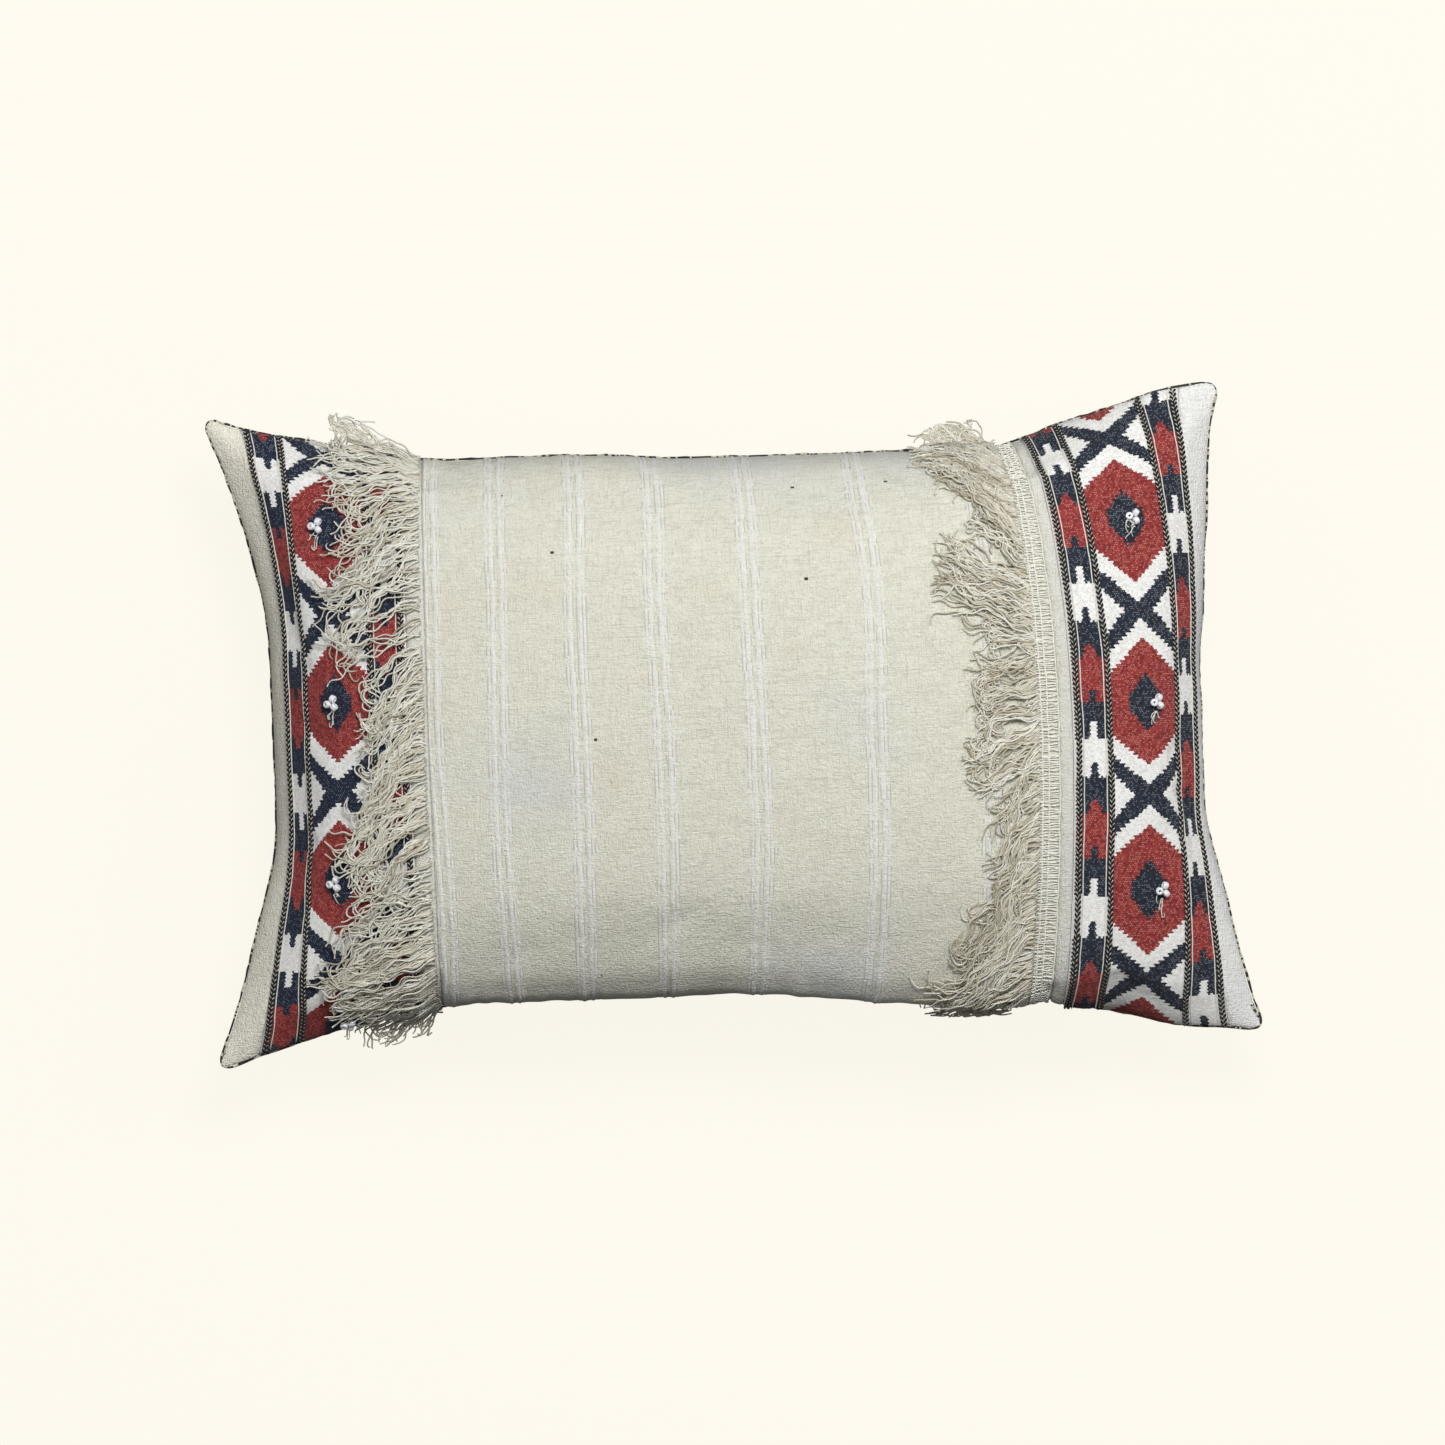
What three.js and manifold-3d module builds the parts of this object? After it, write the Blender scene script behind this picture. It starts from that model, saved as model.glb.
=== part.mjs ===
// Lumbar throw pillow, lying on its back. Millimetres, +Z up, +X along the length.
// The cover is sewn from woven strips; a zip closes its long -Y seam round a padded insert.
import * as THREE from 'three';
import { mergeVertices } from 'three/addons/utils/BufferGeometryUtils.js';
import Module from 'manifold-3d';

const wasm = await Module();
wasm.setup();

// Cover as cut: half sizes of the flat cloth, corner to corner.
const HALF_LENGTH = 279.4;
const HALF_HEIGHT = 177.8;
// Stuffing lifts the two faces away from the seam and pulls the middle of each edge in.
const FRONT_CROWN = 73;
const BACK_CROWN = 75;
const SEAM_Z = 66;
const END_PULL = 27;
const SIDE_PULL = 32;
const END_STRAIGHT = 0.3;
const SIDE_STRAIGHT = 0.52;
const EDGE_EASE = 1.5;
const END_ROUNDING = 0.8;
const SIDE_ROUNDING = 0.52;
const LEFT_END_POWER = 9;
const RIGHT_END_POWER = 12;
// The middle of the cover sits a little towards +X, and its strips spread over the crown.
const MIDDLE_SHIFT = 5;
const STRIP_SPREAD = 7;
const TOP_LEAN = 12;
const TOP_LIFT = 4.5;
const BOTTOM_SAG = 9;

// Thicknesses, and the gap between pieces that touch.
const GAP = 0.3;
const CLOTH = 1.2;
const BAND_RISE = 0.6;
const CORD_WIDTH = 3.8;
const CORD_RISE = 1.3;
const CORD_INSET = 2.4;
const FRINGE_THICKNESS = 3;
const INSERT_LOOSE = 7.5;
const INSERT_SKIN = 0.8;
const CROWN_LOOSE = 1.2;

// Cloth coordinates, along X, of the strips that the front is sewn from.
const LEFT_BAND = [-257.5, -170.5];
const LEFT_SEAM = -160;
const HEADER = [156, 167];
const RIGHT_BAND = [174.5, 261.5];
const BORDER_WIDTH = 20.6;
const LEFT_FRINGE_TIP = -206;
const RIGHT_FRINGE_TIP = 101;

// Three glass beads are sewn near the heart of each woven diamond: its place along the cloth
// in X, and the fraction of the half height in Y.
const LEFT_HEARTS = [[-219.5, 0.651], [-215, 0.112], [-217, -0.437], [-212, -0.965]];
const RIGHT_HEARTS = [[221.5, 0.58], [223.5, 0.02], [225.5, -0.54]];
const BEADS_PER_HEART = 3;
const BEAD_RADIUS = 2.1;
const BEAD_HOLE = 0.6;
const BEAD_LENGTH = 3;
const BEAD_RING = 2.9;
const HEART_TURNS = [0, 0.15, 0.1, -0.2];

// Zip in the -Y seam: a No. 5 coil chain on woven tapes.
const CHAIN_HALF = 136;
const ROW_WIDTH = 2.1;
const ROW_SPLIT = 1.4;
const ROW_THICKNESS = 2.4;
const TAPE_WIDTH = 10;
const TAPE_THICKNESS = 0.6;
const STOP_LENGTH = 3;
const SLOT_HALF = 5.2;
const SLOT_ENDS = [0.51, 0.555];
const SLIDER_LENGTH = 11;
const SLIDER_HALF_WIDTH = 4.6;
const PLATE = 1;
const ARCH = { length: 7, rise: 3.2, wall: 1.3, top: 1.1, width: 1.8 };
const TAB = { length: 26, width: 6, thickness: 1.3, eye: 6.5, eyeWidth: 3 };

const ZIP_Y = SIDE_PULL - HALF_HEIGHT + CLOTH + GAP + TAPE_THICKNESS / 2;
const SLIDER_X = CHAIN_HALF - SLIDER_LENGTH / 2 - 0.2;
const ROW_CENTRE = (ROW_SPLIT + ROW_WIDTH) / 2;
const CHANNEL_HALF = ROW_THICKNESS / 2 + GAP;
const PLATE_OUTER = CHANNEL_HALF + PLATE;

const material = (color, roughness, metalness = 0) =>
  new THREE.MeshStandardMaterial({ color, roughness, metalness });

const pillow = new THREE.Group();

function add(name, geometry, finish) {
  const mesh = new THREE.Mesh(geometry, finish);
  mesh.name = name;
  pillow.add(mesh);
  return mesh;
}

// ---- shape of the stuffed cover -------------------------------------------------------------

// 1 along the straight middle of an edge, falling to 0 at its corners.
function middleOfEdge(t, straight, power) {
  const run = Math.max(0, (Math.abs(t) - straight) / (1 - straight));
  return 1 - run ** power;
}

// Height of the crown over the seam, from 1 in the middle to 0 all along the edge.
function crown(u, v) {
  const along = Math.max(0, 1 - Math.abs(u) ** 3);
  const across = Math.max(0, 1 - Math.abs(v) ** 2.2);
  return along ** END_ROUNDING * across ** SIDE_ROUNDING;
}

// The cover doesn't lie quite symmetrically: its top right corner leans in, its bottom edge sags
// next to the right corner, and its top edge stands higher on both sides of the middle.
function settle(u, v) {
  const { smoothstep } = THREE.MathUtils;
  const leaning = smoothstep(u, 0.45, 0.68) * (1 - 0.45 * smoothstep(u, 0.9, 1));
  const sagging = smoothstep(u, 0.57, 0.7) * (1 - smoothstep(u, 0.82, 1));
  const liftedLeft = smoothstep(-u, 0.05, 0.3) * (1 - smoothstep(-u, 0.75, 1));
  const liftedRight = smoothstep(u, 0.57, 0.75) * (1 - smoothstep(u, 0.88, 1));
  const sag = BOTTOM_SAG * sagging * smoothstep(-v, 0.3, 1);
  const lift = TOP_LIFT * (liftedLeft + liftedRight) * smoothstep(v, 0.3, 1);
  return [-TOP_LEAN * leaning * Math.max(0, v) ** 2, lift - sag];
}

// Where the cloth point (u, v), each from -1 to 1, lies in plan, moved in by a plan inset.
function planPoint(u, v, inset) {
  const power = u < 0 ? LEFT_END_POWER : RIGHT_END_POWER;
  const endPull = END_PULL * middleOfEdge(v, END_STRAIGHT, EDGE_EASE) * Math.abs(u) ** power;
  const sidePull = SIDE_PULL * middleOfEdge(u, SIDE_STRAIGHT, EDGE_EASE) * Math.abs(v) ** 5;
  const drift = (MIDDLE_SHIFT + STRIP_SPREAD * Math.sin(Math.PI * u)) * (1 - v * v);
  const [settleX, settleY] = settle(u, v);
  return [
    u * (HALF_LENGTH - inset) - Math.sign(u) * endPull + drift + settleX,
    v * (HALF_HEIGHT - inset) - Math.sign(v) * sidePull + settleY,
  ];
}

// The seam opens along the zip, so the edges of the cover stand back from the chain there.
function slotOpening(u, v) {
  const [open, shut] = SLOT_ENDS;
  const alongZip = 1 - THREE.MathUtils.smoothstep(Math.abs(u), open, shut);
  const nearEdge = THREE.MathUtils.smoothstep(-v, 0.85, 1);
  return SLOT_HALF * alongZip * nearEdge;
}

// A point of the front face, moved in from the outer surface by rise (negative is outwards).
function frontPoint(u, v, inset = 0) {
  const [x, y] = planPoint(u, v, inset);
  const z = SEAM_Z + GAP / 2 + slotOpening(u, v) + (FRONT_CROWN - inset) * crown(u, v);
  return new THREE.Vector3(x, y, z);
}

// The same on the back, which is pressed flat where the pillow lies on it.
function backPoint(u, v, inset = 0) {
  const [x, y] = planPoint(u, v, inset);
  const z = SEAM_Z - GAP / 2 - slotOpening(u, v) - (BACK_CROWN - inset) * crown(u, v);
  return new THREE.Vector3(x, y, Math.max(z, inset));
}

// The insert is a little smaller in plan than the cover, and presses up against its crown.
function insertPoint(side, depth) {
  const tall = side > 0 ? FRONT_CROWN : BACK_CROWN;
  return (u, v) => {
    const [x, y] = planPoint(u, v, INSERT_LOOSE + depth);
    const lift = GAP / 2 + (tall - CLOTH - CROWN_LOOSE - depth) * crown(u, v);
    const floor = CLOTH + CROWN_LOOSE + depth;
    return new THREE.Vector3(x, y, Math.max(SEAM_Z + side * lift, floor));
  };
}

// ---- patches of cloth ------------------------------------------------------------------------

const steps = (count) => Array.from({ length: count + 1 }, (_, i) => i / count);
const between = (from, to, count) => steps(count).map((t) => from + (to - from) * t);

// Cloth lines across the height, closer together where the cover turns down to the seam.
const V_LINES = steps(16).map((t) => Math.sin(Math.PI * (t - 0.5)));
const roundTheEnd = (inner, outer, count) =>
  steps(count).map((t) => inner + (outer - inner) * Math.sin((Math.PI / 2) * t));

// A closed slab between two surfaces, low(u, v) and high(u, v), over a grid of cloth lines.
function slab(uLines, vLines, low, high) {
  const rows = vLines.length;
  const layer = uLines.length * rows;
  const points = [low, high].flatMap((surface) =>
    uLines.flatMap((u) => vLines.flatMap((v) => surface(u, v).toArray())));
  const faces = [];
  const quad = (a, b, c, d) => faces.push(a, b, c, a, c, d);
  const at = (i, j, top) => i * rows + j + (top ? layer : 0);
  const lastU = uLines.length - 1;
  const lastV = rows - 1;
  for (let i = 0; i < lastU; i += 1) {
    for (let j = 0; j < lastV; j += 1) {
      quad(at(i, j, true), at(i + 1, j, true), at(i + 1, j + 1, true), at(i, j + 1, true));
      quad(at(i, j), at(i, j + 1), at(i + 1, j + 1), at(i + 1, j));
    }
    quad(at(i, 0), at(i + 1, 0), at(i + 1, 0, true), at(i, 0, true));
    quad(at(i, lastV), at(i, lastV, true), at(i + 1, lastV, true), at(i + 1, lastV));
  }
  for (let j = 0; j < lastV; j += 1) {
    quad(at(0, j), at(0, j, true), at(0, j + 1, true), at(0, j + 1));
    quad(at(lastU, j), at(lastU, j + 1), at(lastU, j + 1, true), at(lastU, j, true));
  }
  const geometry = new THREE.BufferGeometry();
  geometry.setAttribute('position', new THREE.Float32BufferAttribute(points, 3));
  geometry.setIndex(faces);
  geometry.computeVertexNormals();
  return geometry;
}

// One strip of the front cover, between cloth coordinates given in millimetres.
function frontStrip(name, lines, rise, finish) {
  const inside = (u, v) => frontPoint(u, v, CLOTH);
  const outside = (u, v) => frontPoint(u, v, -rise);
  const uLines = lines.map((x) => x / HALF_LENGTH);
  return add(name, slab(uLines, V_LINES, inside, outside), finish);
}

// A piece that lies on top of the front cover: a cord, a woven header or a fringe.
function overlay(name, lines, base, height, finish, reach = 1) {
  const vLines = V_LINES.map((v) => v * reach);
  const uLines = lines.map((x) => x / HALF_LENGTH);
  const under = (u, v) => frontPoint(u, v, -base);
  const over = (u, v) => frontPoint(u, v, -base - height(u * HALF_LENGTH));
  return add(name, slab(uLines, vLines, under, over), finish);
}

// ---- front and back of the cover ---------------------------------------------------------------

const creamCloth = material(0xd7d0b9, 0.9);
const greyCloth = material(0xcdcbc3, 0.9);
const kilim = material(0x9a352e, 0.95);
const twinedCord = material(0x2a2a2c, 0.9);
const cotton = material(0xd9d2c2, 0.85);
const backCloth = material(0x55524a, 0.9);
const half = GAP / 2;

// Twined cords edge the two borders of each band, and the band's facets break along them.
const cordCentres = ([start, end]) =>
  [start + CORD_INSET, start + BORDER_WIDTH, end - BORDER_WIDTH, end - CORD_INSET];
const cordEdges = (centre) => [centre - CORD_WIDTH / 2, centre + CORD_WIDTH / 2];
const bandMiddle = ([start, end]) => (start + end) / 2;

function bandLines(band) {
  const cords = cordCentres(band).flatMap(cordEdges);
  const middle = [-1, 0, 1].map((side) => bandMiddle(band) + side * 8);
  return [band[0] + half, ...cords.slice(0, 4), ...middle, ...cords.slice(4), band[1] - half];
}

const SLOT_LINES = SLOT_ENDS.map((u) => u * HALF_LENGTH);
const headerLines = between(HEADER[0] + half, HEADER[1] - 0.5, 2);
const centreLines = [
  LEFT_SEAM + half,
  -SLOT_LINES[1],
  ...between(-SLOT_LINES[0], SLOT_LINES[0], 10),
  SLOT_LINES[1],
  ...headerLines,
  HEADER[1] - half,
];

frontStrip('front_left_margin', roundTheEnd(LEFT_BAND[0] - half, -HALF_LENGTH, 4).reverse(),
  0, greyCloth);
frontStrip('front_left_band', bandLines(LEFT_BAND), BAND_RISE, kilim);
frontStrip('front_left_joining_strip', [LEFT_BAND[1] + half, LEFT_SEAM - half], 0, greyCloth);
frontStrip('front_centre_panel', centreLines, 0, creamCloth);
frontStrip('front_right_joining_strip', [HEADER[1] + half, RIGHT_BAND[0] - half], 0, greyCloth);
frontStrip('front_right_band', bandLines(RIGHT_BAND), BAND_RISE, kilim);
frontStrip('front_right_margin', roundTheEnd(RIGHT_BAND[1] + half, HALF_LENGTH, 4), 0, greyCloth);

const backEnd = roundTheEnd(SLOT_LINES[1], HALF_LENGTH, 7);
const backLines = [
  ...backEnd.map((x) => -x).reverse(),
  ...between(-SLOT_LINES[0], SLOT_LINES[0], 10),
  ...backEnd,
].map((x) => x / HALF_LENGTH);
const backSurface = (inset) => (u, v) => backPoint(u, v, inset);
add('back_panel', slab(backLines, V_LINES, backSurface(0), backSurface(CLOTH)), backCloth);

const CORD_BASE = BAND_RISE + GAP;
for (const [side, band] of Object.entries({ left: LEFT_BAND, right: RIGHT_BAND })) {
  cordCentres(band).forEach((centre, index) => {
    const bulge = (x) => 0.5 + (CORD_RISE - 0.5) * (1 - ((x - centre) / (CORD_WIDTH / 2)) ** 2);
    const [inner, outer] = cordEdges(centre);
    const lines = [inner, centre, outer];
    overlay(`${side}_band_cord_${index + 1}`, lines, CORD_BASE, bulge, twinedCord);
  });
}

// Fringes: the ends of the cloth's own yarns, lying over the strip on their left.
const FRINGE_BASE = CORD_BASE + CORD_RISE + 2 * GAP;
const leftFringeHeight = (x) =>
  THREE.MathUtils.mapLinear(x, LEFT_FRINGE_TIP, LEFT_SEAM, 1.2, FRINGE_THICKNESS);
const rightFringeHeight = (x) =>
  THREE.MathUtils.mapLinear(x, RIGHT_FRINGE_TIP, HEADER[0], 1.2, FRINGE_THICKNESS);
overlay('left_fringe', between(LEFT_FRINGE_TIP, LEFT_SEAM - half, 4), FRINGE_BASE,
  leftFringeHeight, cotton, 0.99);
overlay('right_fringe', between(RIGHT_FRINGE_TIP, HEADER[0] - half, 5), GAP,
  rightFringeHeight, cotton, 0.99);
overlay('right_fringe_header', headerLines, GAP, () => CLOTH, cotton, 0.99);

// ---- padded insert -------------------------------------------------------------------------------

const casingCloth = material(0xf0eee8, 0.8);
const fibre = material(0xf7f7f5, 1);
const insertLines = backLines.filter((_, index) => index % 2 === 0);
for (const [name, side] of [['insert_casing_front', 1], ['insert_casing_back', -1]]) {
  const outside = insertPoint(side, 0);
  const inside = insertPoint(side, INSERT_SKIN);
  const [low, high] = side > 0 ? [inside, outside] : [outside, inside];
  add(name, slab(insertLines, V_LINES, low, high), casingCloth);
}
const fillDepth = INSERT_SKIN + GAP;
add('fibre_fill', slab(insertLines, V_LINES, insertPoint(-1, fillDepth),
  insertPoint(1, fillDepth)), fibre);

// ---- glass beads -----------------------------------------------------------------------------------

const glass = material(0xf4f4f6, 0.15);

function beadGeometry() {
  const reach = BEAD_LENGTH / 2;
  const round = 0.7;
  const profile = [
    new THREE.Vector2(BEAD_HOLE, -reach),
    new THREE.Vector2(BEAD_RADIUS - round, -reach),
    new THREE.Vector2(BEAD_RADIUS, -reach + round),
    new THREE.Vector2(BEAD_RADIUS, reach - round),
    new THREE.Vector2(BEAD_RADIUS - round, reach),
    new THREE.Vector2(BEAD_HOLE, reach),
    new THREE.Vector2(BEAD_HOLE, -reach),
  ];
  return new THREE.LatheGeometry(profile, 10);
}

// A bead stands with its hole square to the cloth or lies on its side, threaded to the others.
function placeBeads(side, hearts) {
  hearts.forEach(([x, v], heart) => {
    const u = x / HALF_LENGTH;
    const step = 0.01;
    const centre = frontPoint(u, v, -(BAND_RISE + 2 * GAP + BEAD_RADIUS));
    const alongX = frontPoint(u + step, v).sub(frontPoint(u - step, v)).normalize();
    const alongY = frontPoint(u, v).sub(frontPoint(u, v - step)).normalize();
    const normal = new THREE.Vector3().crossVectors(alongX, alongY).normalize();
    const across = new THREE.Vector3().crossVectors(normal, alongX);
    for (let bead = 0; bead < BEADS_PER_HEART; bead += 1) {
      const angle = Math.PI * (1 + (2 * bead) / BEADS_PER_HEART) + HEART_TURNS[heart];
      const outward = alongX.clone().multiplyScalar(Math.cos(angle))
        .addScaledVector(across, Math.sin(angle));
      const hole = bead === 0 ? normal : new THREE.Vector3().crossVectors(normal, outward);
      const mesh = add(`${side}_bead_${heart + 1}_${bead + 1}`, beadGeometry(), glass);
      mesh.position.copy(centre).addScaledVector(outward, BEAD_RING);
      mesh.quaternion.setFromUnitVectors(new THREE.Vector3(0, 1, 0), hole);
    }
  });
}

placeBeads('left', LEFT_HEARTS);
placeBeads('right', RIGHT_HEARTS);

// ---- zip ---------------------------------------------------------------------------------------------

const tapeCloth = material(0xcfc8b4, 0.85);
const nylon = material(0xd8d2c0, 0.4);
const zinc = material(0x9c9a94, 0.35, 1);

function box(name, [lengthX, thickY, widthZ], [x, y, z], finish) {
  const mesh = add(name, new THREE.BoxGeometry(lengthX, thickY, widthZ), finish);
  mesh.position.set(x, y, z);
}

for (const [name, side] of [['front', 1], ['back', -1]]) {
  const tapeCentre = ROW_CENTRE + ROW_WIDTH / 2 + GAP + TAPE_WIDTH / 2;
  box(`zip_tape_${name}`, [2 * (CHAIN_HALF + STOP_LENGTH + GAP), TAPE_THICKNESS, TAPE_WIDTH],
    [0, ZIP_Y, SEAM_Z + side * tapeCentre], tapeCloth);
  box(`zip_coil_${name}`, [2 * CHAIN_HALF, ROW_THICKNESS, ROW_WIDTH],
    [0, ZIP_Y, SEAM_Z + side * ROW_CENTRE], nylon);
  box(`zip_top_stop_${name}`, [STOP_LENGTH, ROW_THICKNESS, ROW_WIDTH],
    [CHAIN_HALF + GAP + STOP_LENGTH / 2, ZIP_Y, SEAM_Z + side * ROW_CENTRE], zinc);
}
box('zip_bottom_stop', [STOP_LENGTH, ROW_THICKNESS, ROW_SPLIT + 2 * ROW_WIDTH],
  [-CHAIN_HALF - GAP - STOP_LENGTH / 2, ZIP_Y, SEAM_Z], zinc);

const toManifold = (geometry) => {
  geometry.deleteAttribute('normal');
  geometry.deleteAttribute('uv');
  const welded = mergeVertices(geometry, 1e-4);
  const vertProperties = new Float32Array(welded.attributes.position.array);
  const triVerts = new Uint32Array(welded.index.array);
  return new wasm.Manifold(new wasm.Mesh({ numProp: 3, vertProperties, triVerts }));
};

const fromManifold = (solid) => {
  const { vertProperties, triVerts } = solid.getMesh();
  const geometry = new THREE.BufferGeometry();
  geometry.setAttribute('position', new THREE.BufferAttribute(vertProperties, 3));
  geometry.setIndex(new THREE.BufferAttribute(triVerts, 1));
  geometry.computeVertexNormals();
  return geometry;
};

const closedShape = (points) => new THREE.Shape(points.map(([x, y]) => new THREE.Vector2(x, y)));

// The slider's section, the same all along it: two plates, the divider between the coil rows,
// and lips that leave a slot for each tape. Drawn in the slider's own z (across) and y (out).
function sliderBody() {
  const web = ROW_SPLIT / 2 - GAP;
  const lipIn = ROW_CENTRE + ROW_WIDTH / 2 + GAP;
  const tapeSlot = TAPE_THICKNESS / 2 + GAP;
  const quarter = [
    [web, 0],
    [web, CHANNEL_HALF],
    [lipIn, CHANNEL_HALF],
    [lipIn, tapeSlot],
    [SLIDER_HALF_WIDTH, tapeSlot],
    [SLIDER_HALF_WIDTH, PLATE_OUTER - 0.5],
    [SLIDER_HALF_WIDTH - 0.5, PLATE_OUTER],
  ];
  const upper = [...quarter.slice(1), ...quarter.slice(1).reverse().map(([z, y]) => [-z, y])];
  const lower = upper.map(([z, y]) => [-z, -y]);
  const section = closedShape([...upper, ...lower]);
  const body = new THREE.ExtrudeGeometry(section, { depth: SLIDER_LENGTH, bevelEnabled: false });
  body.translate(0, 0, -SLIDER_LENGTH / 2);
  return body.rotateY(Math.PI / 2);
}

// The arch on the outer plate that the pull tab hangs on.
function sliderArch() {
  const reach = ARCH.length / 2;
  const root = -PLATE_OUTER + 0.4;
  const crest = -PLATE_OUTER - ARCH.rise;
  const outline = closedShape([
    [-reach, root], [-reach, crest + 0.8], [-reach + 0.8, crest],
    [reach - 0.8, crest], [reach, crest + 0.8], [reach, root],
    [reach - ARCH.wall, root], [reach - ARCH.wall, crest + ARCH.top],
    [ARCH.wall - reach, crest + ARCH.top], [ARCH.wall - reach, root],
  ]);
  const arch = new THREE.ExtrudeGeometry(outline, { depth: ARCH.width, bevelEnabled: false });
  return arch.translate(0, 0, -ARCH.width / 2);
}

const slider = add('zip_slider',
  fromManifold(toManifold(sliderBody()).add(toManifold(sliderArch()))), zinc);
slider.position.set(SLIDER_X, ZIP_Y, SEAM_Z);

// The pull tab lies back over the chain; its end bar runs through the arch.
function pullTab() {
  const bar = TAB.thickness / 2;
  const side = TAB.width / 2;
  const outline = closedShape([
    [bar, -side], [bar, side], [-TAB.eye - 2, side], [-TAB.eye - 4, side - 0.8],
    [1.5 - TAB.length, side - 0.8], [-TAB.length, side - 2],
    [-TAB.length, 2 - side], [1.5 - TAB.length, 0.8 - side],
    [-TAB.eye - 4, 0.8 - side], [-TAB.eye - 2, -side],
  ]);
  const eyeHalf = TAB.eyeWidth / 2;
  outline.holes.push(new THREE.Path([
    new THREE.Vector2(-bar, -eyeHalf), new THREE.Vector2(-TAB.eye, -eyeHalf),
    new THREE.Vector2(-TAB.eye, eyeHalf), new THREE.Vector2(-bar, eyeHalf),
  ]));
  const tab = new THREE.ExtrudeGeometry(outline, { depth: TAB.thickness, bevelEnabled: false });
  return tab.translate(0, 0, -bar).rotateX(Math.PI / 2);
}

const PIVOT_Y = ZIP_Y - PLATE_OUTER - (ARCH.rise - ARCH.top) / 2;
const tab = add('zip_pull_tab', pullTab(), zinc);
tab.position.set(SLIDER_X, PIVOT_Y, SEAM_Z);

export default pillow;
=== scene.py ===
import math

import bpy
import numpy as np
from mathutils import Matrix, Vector


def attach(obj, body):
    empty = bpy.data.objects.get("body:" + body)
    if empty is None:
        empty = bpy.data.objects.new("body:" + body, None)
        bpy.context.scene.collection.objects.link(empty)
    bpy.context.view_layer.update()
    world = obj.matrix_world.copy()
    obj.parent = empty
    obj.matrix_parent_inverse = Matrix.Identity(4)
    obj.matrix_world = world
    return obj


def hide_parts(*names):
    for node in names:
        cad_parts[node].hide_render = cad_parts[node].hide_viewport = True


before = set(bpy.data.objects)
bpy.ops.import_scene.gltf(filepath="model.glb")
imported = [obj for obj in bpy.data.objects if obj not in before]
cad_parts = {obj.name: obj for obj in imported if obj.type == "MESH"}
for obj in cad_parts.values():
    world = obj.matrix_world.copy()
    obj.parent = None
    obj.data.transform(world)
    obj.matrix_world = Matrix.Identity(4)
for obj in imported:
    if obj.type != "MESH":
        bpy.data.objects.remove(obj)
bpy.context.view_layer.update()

MM = 0.001
FRONT, BACK = 1, -1

# Cover as cut and as stuffed, the same as the CAD source.
HALF_LENGTH = 279.4
HALF_HEIGHT = 177.8
CROWN = {FRONT: 73, BACK: 75}
SEAM_Z = 66
SEAM_GAP = 0.3
END_PULL = 27
SIDE_PULL = 32
END_STRAIGHT = 0.3
SIDE_STRAIGHT = 0.52
EDGE_EASE = 1.5
END_FALL = 3
SIDE_FALL = 2.2
END_ROUNDING = 0.8
SIDE_ROUNDING = 0.52
END_POWER = (9, 12)
SIDE_POWER = 5
MIDDLE_SHIFT = 5
STRIP_SPREAD = 7
TOP_LEAN = 12
TOP_LIFT = 4.5
BOTTOM_SAG = 9
SLOT_HALF = 5.2
SLOT_ENDS = (0.51, 0.555)
SLOT_DEEP = (0.85, 1)

# Softness that only the visual model has: where it swells past the CAD's outline, its rounded
# corners, and how gently it comes down on the floor.
BOTTOM_BULGE = 12
END_REACH = 5
CORNER_ROUND = 10
FLOOR_SOFTNESS = 3
FLOOR_SINK = 0.1

# Stretches of the cover, as fractions of its half length or height: where each starts, where it
# is full, where it begins to ease, and where it ends.
SAG_STRETCH = (0.57, 0.7, 0.82, 1)
LEFT_LIFT_STRETCH = (0.05, 0.3, 0.75, 1)
RIGHT_LIFT_STRETCH = (0.57, 0.75, 0.88, 1)
BULGE_ALONG = (-0.1, 0.45, 0.6, 0.75)
BULGE_ACROSS = (0.55, 0.9, 0.945, 0.995)
UPPER_END_STRETCH = (0.1, 0.35, 0.5, 0.9)

LEFT_BAND = (-257.5, -170.5)
LEFT_SEAM = -160
HEADER = (156, 167)
RIGHT_BAND = (174.5, 261.5)
CORD_INSET = 2.4
BORDER_WIDTH = 20.6
LEFT_HEARTS = ((-219.5, 0.651), (-215, 0.112), (-217, -0.437), (-212, -0.965))
RIGHT_HEARTS = ((221.5, 0.58), (223.5, 0.02), (225.5, -0.54))
HEART_TURNS = (0, 0.15, 0.1, -0.2)

# Where each panel of the cover starts and ends along its length.
SPANS = {
    "left_margin": (-HALF_LENGTH, LEFT_BAND[0]),
    "left_joining": (LEFT_BAND[1], LEFT_SEAM),
    "centre": (LEFT_SEAM, HEADER[1]),
    "right_joining": (HEADER[1], RIGHT_BAND[0]),
    "right_margin": (RIGHT_BAND[1], HALF_LENGTH),
    "left_band": LEFT_BAND,
    "right_band": RIGHT_BAND,
    "back": (-HALF_LENGTH, HALF_LENGTH),
}

CHAIN_HALF = 136
ZIP_Y = SIDE_PULL - HALF_HEIGHT + 1.2 + SEAM_GAP + 0.3


# ---- shape of the stuffed cover -------------------------------------------------------------

def middle_of_edge(t, straight):
    run = np.clip((np.abs(t) - straight) / (1 - straight), 0, None)
    return 1 - run ** EDGE_EASE


def smoothstep(t, low, high):
    s = np.clip((t - low) / (high - low), 0, 1)
    return s * s * (3 - 2 * s)


def stretch(t, start, full, ease, end):
    """1 between full and ease, falling to 0 at start and at end."""
    return smoothstep(t, start, full) * (1 - smoothstep(t, ease, end))


def crown(u, v):
    """Height over the seam, from 1 in the middle of the cloth to 0 all along its edge."""
    along = np.clip(1 - np.abs(u) ** END_FALL, 0, None)
    across = np.clip(1 - np.abs(v) ** SIDE_FALL, 0, None)
    return along ** END_ROUNDING * across ** SIDE_ROUNDING


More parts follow.
